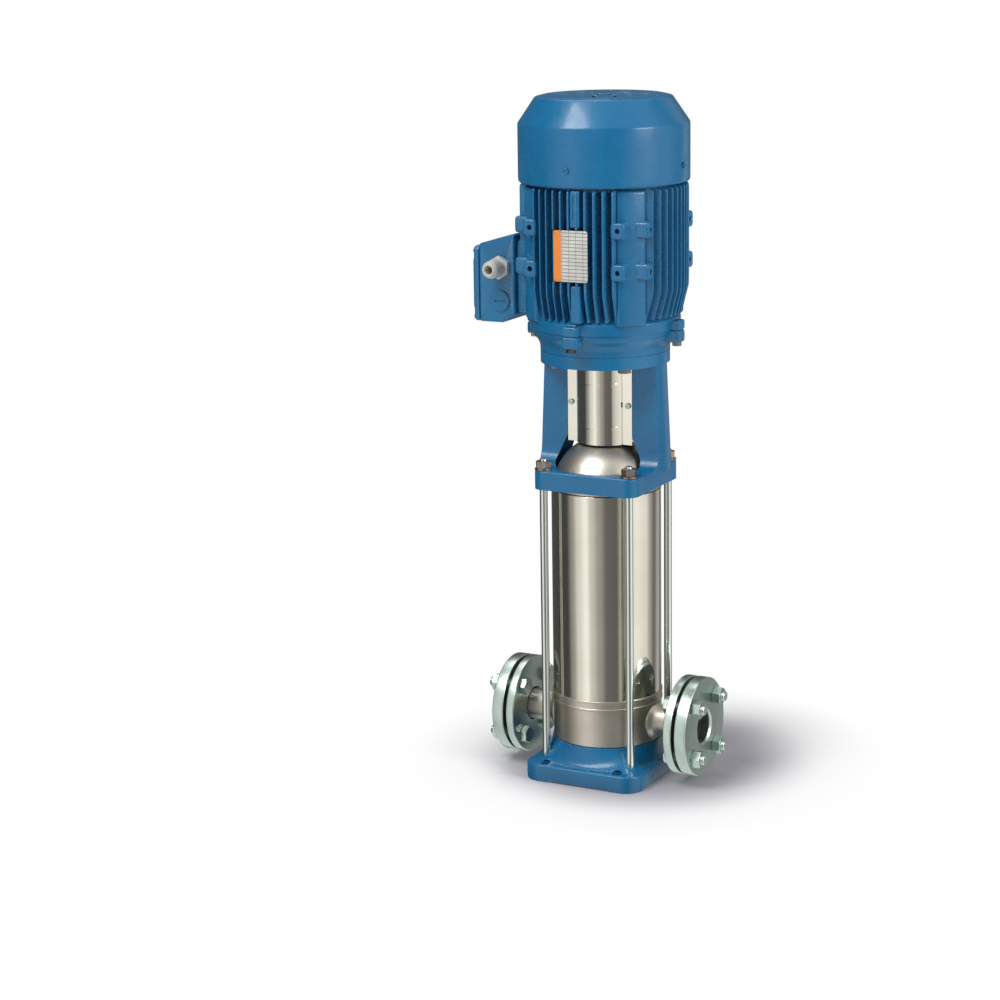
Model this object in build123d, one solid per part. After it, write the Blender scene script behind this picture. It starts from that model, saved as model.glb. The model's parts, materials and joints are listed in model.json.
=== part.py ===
from build123d import *
import math
import os

# Vertical in-line multistage centrifugal pump with a flanged electric motor on top.
# Frame: origin at the centre of the base's underside, +Z up the shaft,
# +X towards the delivery flange, -Y towards the nameplate. Millimetres.

# ---- fits ----
SLIDE_GAP = 0.05       # radial gap of a piece fitted on a shaft or in a seat
WEAR_GAP = 0.4         # radial running gap at an impeller neck
BOLT_GAP = 0.75        # radial gap of a bolt in its clearance hole
JOIN = 1               # how far one form runs into the next within a casting

# ---- pipe flanges: their size sets the height of the ports ----
FLANGE_RADIUS = 75
FLANGE_LIFT = 11       # gap between the flanges' edges and the floor
LOOSE_FLANGE_THICKNESS = 12.5
GASKET_THICKNESS = 3
COUNTER_FLANGE_THICKNESS = 18
COUNTER_BORE_RADIUS = 24.75
COUNTER_CHAMFER = 3
FLANGE_EDGE = 1.2
BOLT_CIRCLE = 110
FLANGE_BOLT_RADIUS = 8
FLANGE_BOLT_ACROSS = 24
FLANGE_BOLT_HEAD = 10
FLANGE_NUT_HEIGHT = 13
FLANGE_BOLT_END = 5    # thread showing past the nut
FLANGE_BOLTS = 4

# ---- base ----
BASE_X = 190
BASE_Y = 216
BASE_CORNER = 28
BASE_RIM = 26          # height of the plate's flat rim
RIM_ROUND = 3
FOOT_RELIEF = 2        # height of the shallow arch between two feet
FOOT_LENGTH = 46
PLINTH_MARGIN = 9      # from the plate's +X and -X edges to the raised square
PLINTH_SLOPE = 30      # degrees
COLLAR_RISE = 16       # collar over the raised square
COLLAR_MARGIN = 1.6    # collar's radius over the casing's
POCKET_MARGIN = 22     # collar's radius over the underside pocket's
POCKET_ROOF = 14
FOUNDATION_EDGE_X = 35
FOUNDATION_EDGE_Y = 13
FOUNDATION_HOLE_RADIUS = 7

# ---- tie rods ----
ROD_RADIUS = 6
ROD_CLEARANCE = 16.6   # from the casing's outside to the rods' centres
ROD_BOSS_RADIUS = 13
ROD_DEPTH = 22         # thread in the base
NUT_ACROSS = 19
NUT_HEIGHT = 10.8
WASHER_RADIUS = 12
WASHER_THICKNESS = 2.5
ROD_END = 3.5          # thread showing over the nut

# ---- pump casing ----
CASING_RADIUS = 82.4
CASING_WALL = 3
CASING_FLOOR = 4
CASING_BAND_STEP = 1.2
CASING_BAND_HEIGHT = 15
BEAD_STEP = 1.8
BEAD_HEIGHT = 2.5
JACKET_SEAT_DEPTH = 9.5
PORT_TO_PORT = 280
PIPE_RADIUS = 24.15
PIPE_WALL = 2.6
PIPE_TO_COLLAR = 5.85  # between the pipes and the base's collar
PIPE_TO_BAND = 1.85    # between the pipes and the casing's upper band
WELD_FLARE = 4.85
WELD_FLARE_LENGTH = 10
LAP_TO_BOLT = 4        # between the lap's edge and the flange bolts
LAP_THICKNESS = 2.5
DRAIN_RISE = 16        # drain plug over the collar
DRAIN_ACROSS = 19
DRAIN_THREAD_RADIUS = 6.5
DRAIN_HEAD = 8

# ---- stage stack ----
STAGES = 10
STAGE_PITCH = 31.5
STACK_RISE = 4         # lowest stage over the foot of the casing's band
STAGE_RADIUS = 48.5
STAGE_WALL = 1.6
STAGE_PLATE = 2
NECK_RADIUS = 24
NECK_WALL = 2.2
NECK_DROP = 1.8        # how far the neck reaches into the plate below
SHROUD = 1.6
IMPELLER_GAP = 5.9     # between an impeller's rim and its stage casing
IMPELLER_LIFT = 4      # front shroud above the stage's lower end
VANE_HEIGHT = 7.5
VANE_THICKNESS = 2
VANE_SWEEP = -55       # degrees an impeller vane leans back on its way out
VANE_BEND = 0.38       # share of the lean reached halfway out
IMPELLER_VANES = 6
HUB_WALL = 3.5
HUB_DROP = 1
RETURN_VANES = 7
RETURN_SWEEP = 40
RETURN_GAP = 1.8       # guide plate above the impeller's back
GUIDE_GAP = 3.4        # between the guide plate's rim and the stage casing
SUCTION_WALL = 2.5
SPACER_STEP = 3        # stage casing's radius over the spacer's
SPACER_WALL = 3
SPACER_PLATE = 4
SPACER_HOLE_RADIUS = 13.5
SPACER_HOLES = 6

# ---- shaft line ----
SHAFT_RADIUS = 10
SHAFT_DROP = 17        # shaft's lower end under the lowest stage
SHAFT_END_GAP = 7      # between the two shafts inside the coupling
SHAFT_NUT_ACROSS = 26
SHAFT_NUT_HEIGHT = 10
SLEEVE_WALL = 3
BUSH_WALL = 4
BUSH_LIFT = 1
BUSH_HEIGHT = 14
SEAL_CUP_HEIGHT = 14
SEAL_CUP_SHOWN = 6     # part of the cup under the seal's housing
SEAL_RING_HEIGHT = 8
SEAL_SEAT_HEIGHT = 8
SEAL_SEAT_GAP = 2
SEAL_COVER = 5         # metal over the seal seat
SEAL_STEP = 1

# ---- jacket and upper cover ----
JACKET_WALL = 2
JACKET_RISE = 12       # jacket's top over the stage stack
SEAL_STRIP = 1.5       # thickness of the flat seals at the jacket's ends
COVER_RIM = 3
COVER_STEP = 7.4       # casing's radius over the dome's
COVER_WALL = 3
COVER_SIDE = 21.5      # straight side under the dome
COVER_RISE = 43        # height of the dome
COVER_NECK_RADIUS = 30
COVER_NECK_RISE = 7
COVER_CROWN_MARGIN = 6 # flat crown's radius over the neck's
SPACER_LAP = 3         # spacer's top over the foot of the dome

# ---- lantern ----
LANTERN_MARGIN = 14    # from the rods' centres to the flange's edges
LANTERN_CORNER = 18
LANTERN_FLANGE = 28.5
LANTERN_WINDOW = 159   # height of the windows
LANTERN_RING = 18
LANTERN_RING_RADIUS = 96
LEG_TOP_STEP = 3       # ring's radius over the legs' at their top
LEG_LEAN = 7           # legs' radius at the foot over that at their top
LEG_HALF_WIDTH = 20.5
LEG_FOOT_HALF_WIDTH = 46
LEG_FLARE_HEIGHT = 34
LEG_FLARE_BEND = 0.3   # how far the flare's curve is pulled towards its corner
LEG_WALL = 8
BORE_FLARE_LOW = 6
BORE_FLARE_HEIGHT = 46
GUARD_BOSS = 9         # half the height of a guard screw's boss
GUARD_BOSS_HALF_WIDTH = 5

# ---- coupling and its guards ----
COUPLING_WALL = 15
COUPLING_LIFT = 7      # over the cover's neck
COUPLING_DROP = 19     # under the motor's face
COUPLING_SPLIT = 1
CLAMP_OFFSET = 7.5     # clamp screws' centres outside the motor shaft
CLAMP_LOW_EDGE = 15
CLAMP_TOP_EDGE = 28
CLAMP_RADIUS = 4
CLAMP_HEAD_RADIUS = 6.5
CLAMP_HEAD = 8
CLAMP_FACE = 14        # distance of the head's seat from the split
GUARD_GAP = 9          # guards' radius over the coupling's
GUARD_SHEET = 1.2
GUARD_OVER_DOME = 1
GUARD_HEADROOM = 4
GUARD_TO_BORE = 14     # lantern's bore over the guards' radius
GUARD_INSET = 4.5      # guards' edges inside the lantern's bore
GUARD_EDGE = 6         # guards' edges to their screws
GUARD_BEAD = 0.8       # stiffening beads rolled across the guards
GUARD_BEAD_WIDTH = 3
GUARD_BEAD_EDGE = 26   # beads' centres to the guards' ends

# ---- motor ----
MOTOR_SHAFT_RADIUS = 19
MOTOR_SHAFT_LENGTH = 80
SHAFT_SHOULDER = 1
ROTOR_SEAT = 3         # shaft's radius under the rotor over the bearings' bore
SPIGOT_RADIUS = 65
SPIGOT_WALL = 7
SPIGOT_HEIGHT = 3.5
MOTOR_BOLT_EDGE = 13.5
MOTOR_BOLT_RADIUS = 5
MOTOR_BOLT_DEPTH = 17
MOTOR_BOLT_ACROSS = 17
MOTOR_BOLT_HEAD = 6.4
THREAD_SPARE = 2       # blank end of a threaded hole under its screw
SHIELD_HEIGHT = 34
SHIELD_RIM = 9
SHIELD_SHOULDER = ((4, 17), (12, 26))  # outwards and upwards from the foot of the rim
SHIELD_WEB = 4
SHIELD_LAP = 6         # end shields' spigots inside the frame
SHIELD_LAP_WALL = 5
FRAME_HEIGHT = 216
FIN_RADIUS = 124
FIN_DEPTH = 27
FRAME_WALL = 13
BAND_STEP = 12         # fins' radius over the lower band's
REAR_BAND_STEP = 14
REAR_BAND_HEIGHT = 8
BAND_CHAMFER = 2
FIN_LIFT = 22          # fins' lower ends over the drive end shield
FIN_TAPER = 10
FIN_TAPER_HEIGHT = 40
FIN_TOP_GAP = 5
FIN_ROOT = 3
FIN_THICKNESS = 3
FIN_PITCH = 12.5
FINS_PER_SIDE = 5      # each side of a face's middle
BAND_BLEND = 6         # half the height of the slope over the lower band
COLUMN_STEP = 5.5
COLUMN_WIDTH = 46
COLUMN_ROOT = 4
COLUMN_DROP = 8
PAD_STEP = 16          # fins' radius over the pads' distance from the axis
PAD_INSET = 38         # pads' centres inside their face
PAD_WIDTH = 27
PAD_HEIGHT = 30
LOWER_PAD_RISE = 93
PAD_SPACING = 59
PAD_HOLE_RADIUS = 4.3
PAD_HOLE_DEPTH = 12
RAIL_X = 10
RAIL_WIDTH = 15
RAIL_STEP = 2.5
LUG_REACH = 12         # lugs stand out from the lower band
LUG_EDGE = 8           # lug screws' centres inside the lugs' outer faces
LUG_WIDTH = 24
LUG_DROP = 18
LUG_RISE = 15
SHIELD_SCREW_RADIUS = 4
SHIELD_SCREW_ACROSS = 13
SHIELD_SCREW_HEAD = 5.3
BEARING_INSET = 17     # front bearing inside the drive end shield
BEARING_OUTSET = 7     # rear bearing over the frame's end
BEARING_WIDTH = 18
BEARING_RADIUS = 40
BEARING_RACE = 6
BEARING_GAP = 0.4
BEARING_FLOOR = 8
BEARING_LIP = 2
BEARING_WALL = 8
BEARING_HUB_FLARE = 4
BEARING_HUB_SLOPE = 5
SHAFT_CLEARANCE = 4
CORE_RISE = 41
CORE_DROP = 27
STATOR_DEPTH = 28
AIR_GAP = 0.5
WINDING_HEIGHT = 17
WINDING_INSET = 5
REAR_SHIELD_THICKNESS = 8
REAR_HUB = 6

# ---- fan and fan cover ----
COWL_STEP = 2          # cover's radius over the fins'
COWL_SHEET = 1.6
COWL_OVERLAP = 2
COWL_SKIRT = 85
COWL_CONE_HEIGHT = 38
COWL_CONE_IN = 26.5
COWL_CONE_INSET = 0.6  # share of the sheet's thickness taken off the cone's top
COWL_LIP = 6
COWL_LIP_RISE = 2.5
COWL_CROWN_RISE = 4.5
COWL_CROWN_EASE = 0.5
COVER_SCREW_RISE = 24
COVER_SCREW_EDGE = 8
COVER_SCREW_DEPTH = 12
FAN_GAP = 10
FAN_HEIGHT = 34
FAN_TIP_GAP = 20
FAN_BLADES = 7
FAN_BLADE = 3
FAN_DISC_INSET = 40
FAN_SHAFT_RADIUS = 14
FAN_HUB_WALL = 8
FAN_HUB_DROP = 8
FAN_SHAFT_DROP = 6
GRILLE_SLOTS = 14
GRILLE_SLOT_WIDTH = 6
GRILLE_RINGS = ((26, 46), (54, 78))

# ---- terminal box ----
BOX_SET_IN = 3         # box's back inside the fins' radius
BOX_DEPTH = 60
BOX_LID = 12
BOX_HALF_Y = 55
BOX_RISE = 3           # box over the drive end shield
BOX_HEIGHT = 134
ROOF_FALL = 21
LID_DROP = 3.5         # lid's top under the roof's outer edge
BOX_HEEL = (22, 14)    # sloped corner at the box's foot, out and up
BOX_WALL = 4
BOX_ROUND = 8
LID_CHAMFER = 3
LID_SCREW_EDGE = 7
LID_SCREW_SEAT = 4
LID_BOSS = 5
LID_BOSS_DEPTH = 16
LID_HOLE_DEPTH = 14
BOX_GAP = 1            # room between the box and the fins round it
SADDLE_INSET = 7
SADDLE_RISE = 14
SADDLE_FALL = 10
SADDLE_WALL = 14
LEAD_HOLE_RADIUS = 18
GLAND_OUT = 24         # gland's centre from the box's back
GLAND_FALL = 51
GLAND_REACH = 39
GLAND_RADIUS = 13.7
GLAND_THREAD_RADIUS = 11.5
GLAND_THREAD_END = 6
GLAND_BORE_RADIUS = 6.5
GLAND_ACROSS = 31
GLAND_HEXAGON = 9
GLAND_NECK = 4
GLAND_NECK_STEP = 1.5
GLAND_CAP = 14
GLAND_DOME = 5
GLAND_DOME_STEPS = (1, 4.5)
PLUG_RISE = 33
PLUG_RADIUS = 15
PLUG_HEAD = 3
PLUG_THREAD_END = 4
PLUG_SLOT = 2.5
PLUG_SLOT_DEPTH = 1.5
PLUG_SLOT_EDGE = 5.4
BLOCK_DEPTH = 10
BLOCK_HALF_WIDTH = 26
BLOCK_HALF_HEIGHT = 30
STUD_ACROSS = 8
STUD_PITCH_Y = 16
STUD_PITCH_Z = 24
STUD_HEIGHT = 9

# ---- nameplate and small screws ----
PLATE_WIDTH = 54
PLATE_HEIGHT = 74
PLATE_X = 3
PLATE_RISE = 117       # plate's centre over the drive end shield
PLATE_INSET = 4        # seat's distance inside the fins' radius
PLATE_SHEET = 1
PLATE_GAP = 1
RIVET_RADIUS = 2
RIVET_HEAD = 0.8
RIVET_EDGE = 4
SMALL_SCREW_RADIUS = 2.5
SMALL_SCREW_HEAD_RADIUS = 4.4
SMALL_SCREW_HEAD = 3
SMALL_SCREW_LENGTH = 9

# worked out from the sizes above, from the floor up
PORT_HEIGHT = FLANGE_RADIUS + FLANGE_LIFT
COLLAR_TOP = PORT_HEIGHT - PIPE_RADIUS - PIPE_TO_COLLAR
PLINTH_TOP = COLLAR_TOP - COLLAR_RISE
PLINTH_SIDE = BASE_X - 2 * PLINTH_MARGIN
COLLAR_RADIUS = CASING_RADIUS + COLLAR_MARGIN
POCKET_RADIUS = COLLAR_RADIUS - POCKET_MARGIN
POCKET_TOP = COLLAR_TOP - POCKET_ROOF
FOUNDATION_X = BASE_X / 2 - FOUNDATION_EDGE_X
FOUNDATION_Y = BASE_Y / 2 - FOUNDATION_EDGE_Y
ROD_AT = (CASING_RADIUS + ROD_CLEARANCE) * math.sqrt(0.5)
CASING_BAND_RADIUS = CASING_RADIUS + CASING_BAND_STEP
CASING_BAND_LOW = PORT_HEIGHT + PIPE_RADIUS + PIPE_TO_BAND
CASING_BAND_TOP = CASING_BAND_LOW + CASING_BAND_HEIGHT
BEAD_RADIUS = CASING_RADIUS + BEAD_STEP
PIPE_BORE = PIPE_RADIUS - PIPE_WALL
WELD_FLARE_RADIUS = PIPE_RADIUS + WELD_FLARE
LAP_RADIUS = BOLT_CIRCLE / 2 - FLANGE_BOLT_RADIUS - LAP_TO_BOLT
PORT_FACE = PORT_TO_PORT / 2
COUNTER_INNER = PORT_FACE + GASKET_THICKNESS
COUNTER_OUTER = COUNTER_INNER + COUNTER_FLANGE_THICKNESS
LOOSE_INNER = PORT_FACE - LAP_THICKNESS - LOOSE_FLANGE_THICKNESS
DRAIN_HEIGHT = COLLAR_TOP + DRAIN_RISE
STACK_LOW = CASING_BAND_LOW + STACK_RISE
STACK_TOP = STACK_LOW + STAGES * STAGE_PITCH
STAGE_BORE = STAGE_RADIUS - STAGE_WALL
IMPELLER_RADIUS = STAGE_BORE - IMPELLER_GAP
GUIDE_RADIUS = STAGE_BORE - GUIDE_GAP
GUIDE_LIFT = IMPELLER_LIFT + SHROUD + VANE_HEIGHT + SHROUD + RETURN_GAP
SPACER_RADIUS = STAGE_RADIUS - SPACER_STEP
HUB_RADIUS = SHAFT_RADIUS + HUB_WALL
SLEEVE_RADIUS = SHAFT_RADIUS + SLEEVE_WALL
BUSH_RADIUS = SLEEVE_RADIUS + BUSH_WALL
BUSH_LOW = STACK_TOP + BUSH_LIFT
SEAL_RADIUS = BUSH_RADIUS - SEAL_STEP
SHAFT_LOW = STACK_LOW - SHAFT_DROP
JACKET_BORE = CASING_RADIUS - JACKET_WALL
JACKET_LOW = CASING_BAND_TOP - JACKET_SEAT_DEPTH + SEAL_STRIP
JACKET_TOP = STACK_TOP + JACKET_RISE
LANTERN_LOW = JACKET_TOP + SEAL_STRIP + COVER_RIM
COVER_RADIUS = CASING_RADIUS - COVER_STEP
COVER_SHOULDER = LANTERN_LOW + COVER_SIDE
COVER_CROWN = COVER_SHOULDER + COVER_RISE
COVER_CROWN_RADIUS = COVER_NECK_RADIUS + COVER_CROWN_MARGIN
COVER_NECK_TOP = COVER_CROWN + COVER_NECK_RISE
SPACER_TOP = COVER_SHOULDER + SPACER_LAP
SEAL_SEAT_LOW = COVER_NECK_TOP - SEAL_COVER - SEAL_SEAT_HEIGHT
SEAL_CUP_TOP = SEAL_SEAT_LOW - SEAL_RING_HEIGHT
SEAL_CUP_LOW = SEAL_CUP_TOP - SEAL_CUP_HEIGHT
LANTERN_SQUARE = 2 * (ROD_AT + LANTERN_MARGIN)
LANTERN_FLANGE_TOP = LANTERN_LOW + LANTERN_FLANGE
LANTERN_RING_LOW = LANTERN_FLANGE_TOP + LANTERN_WINDOW
MOTOR_FACE = LANTERN_RING_LOW + LANTERN_RING
LEG_TOP_RADIUS = LANTERN_RING_RADIUS - LEG_TOP_STEP
LEG_FOOT_RADIUS = LEG_TOP_RADIUS + LEG_LEAN
COUPLING_RADIUS = MOTOR_SHAFT_RADIUS + COUPLING_WALL
COUPLING_LOW = COVER_NECK_TOP + COUPLING_LIFT
COUPLING_TOP = MOTOR_FACE - COUPLING_DROP
MOTOR_SHAFT_END = MOTOR_FACE - MOTOR_SHAFT_LENGTH
SHAFT_TOP = MOTOR_SHAFT_END - SHAFT_END_GAP
CLAMP_X = MOTOR_SHAFT_RADIUS + CLAMP_OFFSET
CLAMP_HEIGHTS = (COUPLING_LOW + CLAMP_LOW_EDGE, COUPLING_TOP - CLAMP_TOP_EDGE)
GUARD_RADIUS = COUPLING_RADIUS + GUARD_GAP
GUARD_LOW = COVER_CROWN + GUARD_OVER_DOME
GUARD_TOP = LANTERN_RING_LOW - GUARD_HEADROOM
GUARD_SCREW_HEIGHT = (GUARD_LOW + GUARD_TOP) / 2
LANTERN_BORE = GUARD_RADIUS + GUARD_TO_BORE
GUARD_REACH = LANTERN_BORE - GUARD_INSET
GUARD_SCREW_X = GUARD_REACH - GUARD_EDGE
MOTOR_BOLT_AT = LANTERN_RING_RADIUS - MOTOR_BOLT_EDGE
SHIELD_TOP = MOTOR_FACE + SHIELD_HEIGHT
FRAME_TOP = SHIELD_TOP + FRAME_HEIGHT
FRAME_RADIUS = FIN_RADIUS - FIN_DEPTH
FRAME_BORE = FRAME_RADIUS - FRAME_WALL
FRAME_BAND_RADIUS = FIN_RADIUS - BAND_STEP
REAR_BAND_RADIUS = FIN_RADIUS - REAR_BAND_STEP
FIN_LOW = SHIELD_TOP + FIN_LIFT
FIN_TOP = FRAME_TOP - FIN_TOP_GAP
FIN_FOOT_RADIUS = FIN_RADIUS - FIN_TAPER
COLUMN_RADIUS = FIN_RADIUS - COLUMN_STEP
PAD_FACE = FIN_RADIUS - PAD_STEP
PAD_CENTRE = PAD_FACE - PAD_INSET
PAD_HEIGHTS = (SHIELD_TOP + LOWER_PAD_RISE, SHIELD_TOP + LOWER_PAD_RISE + PAD_SPACING)
RAIL_FACE = FIN_RADIUS - RAIL_STEP
LUG_RADIUS = FRAME_BAND_RADIUS + LUG_REACH
LUG_LOW = SHIELD_TOP - LUG_DROP
LUG_TOP = SHIELD_TOP + LUG_RISE
SHIELD_SCREW_AT = LUG_RADIUS - LUG_EDGE
BEARING_LOW = (SHIELD_TOP - BEARING_INSET, FRAME_TOP + BEARING_OUTSET)
BEARING_BORE = MOTOR_SHAFT_RADIUS + SHAFT_SHOULDER
ROTOR_SHAFT_RADIUS = BEARING_BORE + ROTOR_SEAT
CORE_LOW = SHIELD_TOP + CORE_RISE
CORE_TOP = FRAME_TOP - CORE_DROP
ROTOR_RADIUS = FRAME_BORE - STATOR_DEPTH - AIR_GAP
REAR_HUB_TOP = BEARING_LOW[1] + BEARING_WIDTH + REAR_HUB
FAN_LOW = REAR_HUB_TOP + FAN_GAP
FAN_TOP = FAN_LOW + FAN_HEIGHT
COWL_RADIUS = FIN_RADIUS + COWL_STEP
COWL_LOW = FRAME_TOP - COWL_OVERLAP
COWL_SHOULDER = COWL_LOW + COWL_SKIRT
COWL_TOP = COWL_SHOULDER + COWL_CONE_HEIGHT
COWL_TOP_RADIUS = COWL_RADIUS - COWL_CONE_IN
COWL_CROWN = COWL_TOP + COWL_CROWN_RISE
FAN_RADIUS = COWL_RADIUS - FAN_TIP_GAP
COVER_SCREW_HEIGHT = FRAME_TOP + COVER_SCREW_RISE
BOX_INNER_X = FIN_RADIUS - BOX_SET_IN
BOX_LID_X = BOX_INNER_X + BOX_DEPTH
BOX_OUTER_X = BOX_LID_X + BOX_LID
BOX_LOW = SHIELD_TOP + BOX_RISE
BOX_TOP_INNER = BOX_LOW + BOX_HEIGHT
BOX_TOP_OUTER = BOX_TOP_INNER - ROOF_FALL
SADDLE_HALF_Y = BOX_HALF_Y - SADDLE_INSET
SADDLE_LOW = BOX_LOW + SADDLE_RISE
SADDLE_TOP = BOX_TOP_INNER - SADDLE_FALL
GLAND_X = BOX_INNER_X + GLAND_OUT
GLAND_HEIGHT = BOX_TOP_INNER - GLAND_FALL
PLUG_HEIGHT = BOX_LOW + PLUG_RISE
PLATE_CENTRE = SHIELD_TOP + PLATE_RISE
PLATE_FACE = FIN_RADIUS - PLATE_INSET
QUARTERS = (0, 90, 180, 270)
CORNERS = ((1, 1), (-1, 1), (-1, -1), (1, -1))
FROM_BELOW = (Align.CENTER, Align.CENTER, Align.MIN)


def post(radius, low, high, x=0, y=0):
    """A round bar standing from low to high."""
    return Pos(x, y, low) * Cylinder(radius, high - low, align=FROM_BELOW)


def tube(outer, inner, low, high):
    """A round tube about the shaft line."""
    return post(outer, low, high) - post(inner, low, high)


def block(low, high):
    """A box between two opposite corners."""
    size = [b - a for a, b in zip(low, high)]
    centre = [(a + b) / 2 for a, b in zip(low, high)]
    return Pos(*centre) * Box(*size)


def turned(*outline):
    """A solid of revolution about the shaft line, from (radius, height) corners."""
    return revolve(make_face(Plane.XZ * Polyline(*outline, close=True)), Axis.Z)


def hexagon(across, low, high):
    """A hexagon bar about Z, by its width across flats."""
    return extrude(Pos(0, 0, low) * RegularPolygon(across / 2, 6, major_radius=False), high - low)


def to_plus_x(shape):
    """Turns a piece made about +Z so that it points along +X at the port height."""
    return Pos(0, 0, PORT_HEIGHT) * Rot(0, 90, 0) * shape


def to_minus_y(shape):
    """Turns a piece made about +Z so that it points along -Y."""
    return Rot(90, 0, 0) * shape


def group(pieces):
    """Keeps separate solids together in one node."""
    return Compound(children=[solid for piece in pieces for solid in piece.solids()])


# ---- base: a square iron casting with a round collar for the casing ----
def make_base():
    plate = extrude(RectangleRounded(BASE_X, BASE_Y, BASE_CORNER), BASE_RIM)
    plate = fillet(plate.edges().group_by(Axis.Z)[-1], RIM_ROUND)
    foot = Pos(0, 0, BASE_RIM) * RectangleRounded(PLINTH_SIDE, PLINTH_SIDE, BASE_CORNER)
    plinth = extrude(foot, PLINTH_TOP - BASE_RIM, taper=PLINTH_SLOPE)
    base = plate + plinth + post(COLLAR_RADIUS, BASE_RIM, COLLAR_TOP)
    for sx, sy in CORNERS:
        base += post(ROD_BOSS_RADIUS, BASE_RIM, PLINTH_TOP, sx * ROD_AT, sy * ROD_AT)
    base -= post(POCKET_RADIUS, 0, POCKET_TOP)
    for sx, sy in CORNERS:
        rod = ROD_RADIUS + SLIDE_GAP
        base -= post(rod, PLINTH_TOP - ROD_DEPTH, PLINTH_TOP, sx * ROD_AT, sy * ROD_AT)
        base -= post(FOUNDATION_HOLE_RADIUS, 0, BASE_RIM, sx * FOUNDATION_X, sy * FOUNDATION_Y)
    span_x, span_y = BASE_X / 2 - FOOT_LENGTH, BASE_Y / 2 - FOOT_LENGTH
    for side in (-1, 1):
        edge_x, edge_y = side * BASE_X / 2, side * BASE_Y / 2
        base -= Pos(edge_x, 0, 0) * Box(2 * RIM_ROUND, 2 * span_y, 2 * FOOT_RELIEF)
        base -= Pos(0, edge_y, 0) * Box(2 * span_x, 2 * RIM_ROUND, 2 * FOOT_RELIEF)
    return base


# ---- casing: welded stainless drum with two in-line nozzles and the suction chamber ----
def make_nozzle():
    bar = post(PIPE_RADIUS, 0, PORT_FACE)
    flare_low = CASING_RADIUS - CASING_WALL
    flare_top = CASING_RADIUS + WELD_FLARE_LENGTH
    flare = turned((0, flare_low), (WELD_FLARE_RADIUS, flare_low),
                   (WELD_FLARE_RADIUS, CASING_RADIUS), (PIPE_RADIUS, flare_top), (0, flare_top))
    lap = post(LAP_RADIUS, PORT_FACE - LAP_THICKNESS, PORT_FACE)
    return to_plus_x(bar + flare + lap)


def make_casing():
    nozzle = make_nozzle()
    shell = post(CASING_RADIUS, COLLAR_TOP, CASING_BAND_LOW)
    shell += post(CASING_BAND_RADIUS, CASING_BAND_LOW, CASING_BAND_TOP)
    shell += post(BEAD_RADIUS, CASING_BAND_LOW - BEAD_HEIGHT, CASING_BAND_LOW)
    shell += nozzle + mirror(nozzle, about=Plane.YZ)
    floor_top = COLLAR_TOP + CASING_FLOOR
    seat = CASING_BAND_TOP - JACKET_SEAT_DEPTH
    shell -= post(CASING_RADIUS - CASING_WALL, floor_top, CASING_BAND_TOP)
    shell -= post(CASING_RADIUS + SLIDE_GAP, seat, CASING_BAND_TOP)
    chamber = post(STAGE_RADIUS, floor_top, STACK_LOW)
    duct = to_plus_x(post(PIPE_RADIUS, -CASING_RADIUS + CASING_WALL / 2, 0))
    shell += chamber + duct
    shell -= post(STAGE_RADIUS - SUCTION_WALL, floor_top, STACK_LOW - STAGE_PLATE)
    shell -= post(NECK_RADIUS + WEAR_GAP, STACK_LOW - STAGE_PLATE, STACK_LOW)
    shell -= to_plus_x(post(PIPE_BORE, -PORT_FACE, 0))
    shell -= to_plus_x(post(PIPE_BORE, STAGE_RADIUS + PIPE_WALL, PORT_FACE))
    drain = to_minus_y(post(DRAIN_THREAD_RADIUS, STAGE_RADIUS + PIPE_WALL, CASING_RADIUS + JOIN))
    shell -= Pos(0, 0, DRAIN_HEIGHT) * mirror(drain, about=Plane.XZ)
    return shell


def make_drain_plug():
    thread = post(DRAIN_THREAD_RADIUS - SLIDE_GAP, CASING_RADIUS - CASING_WALL, CASING_RADIUS)
    head = hexagon(DRAIN_ACROSS, CASING_RADIUS, CASING_RADIUS + DRAIN_HEAD)
    plug = Pos(0, 0, DRAIN_HEIGHT) * to_minus_y(thread + head)
    return mirror(plug, about=Plane.XZ)


def make_jacket():
    return tube(CASING_RADIUS, JACKET_BORE, JACKET_LOW, JACKET_TOP)


def make_jacket_seals():
    low = tube(CASING_RADIUS, JACKET_BORE, JACKET_LOW - SEAL_STRIP, JACKET_LOW)
    high = tube(CASING_RADIUS, JACKET_BORE, JACKET_TOP, JACKET_TOP + SEAL_STRIP)
    return group([low, high])


# ---- pipe flanges: loose plate behind the lap, gasket, counter flange, bolts ----
def bolt_holes(radius, low, high):
    reach = BOLT_CIRCLE / 2
    turn = 360 / FLANGE_BOLTS
    spots = [Rot(0, 0, turn * (k + 0.5)) * Pos(reach, 0, 0) for k in range(FLANGE_BOLTS)]
    return [spot * post(radius, low, high) for spot in spots]


def flange_plate(bore, low, high):
    plate = turned((bore, low), (FLANGE_RADIUS - FLANGE_EDGE, low), (FLANGE_RADIUS, low + FLANGE_EDGE),
                   (FLANGE_RADIUS, high - FLANGE_EDGE), (FLANGE_RADIUS - FLANGE_EDGE, high), (bore, high))
    for hole in bolt_holes(FLANGE_BOLT_RADIUS + BOLT_GAP, low, high):
        plate -= hole
    return plate


def make_loose_flange():
    plate = flange_plate(PIPE_RADIUS + BOLT_GAP, LOOSE_INNER, LOOSE_INNER + LOOSE_FLANGE_THICKNESS)
    return to_plus_x(plate)


def make_counter_flange():
    plate = flange_plate(COUNTER_BORE_RADIUS, COUNTER_INNER, COUNTER_OUTER)
    mouth = turned((0, COUNTER_OUTER - COUNTER_CHAMFER), (COUNTER_BORE_RADIUS, COUNTER_OUTER - COUNTER_CHAMFER),
                   (COUNTER_BORE_RADIUS + COUNTER_CHAMFER, COUNTER_OUTER), (0, COUNTER_OUTER))
    return to_plus_x(plate - mouth)


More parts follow.
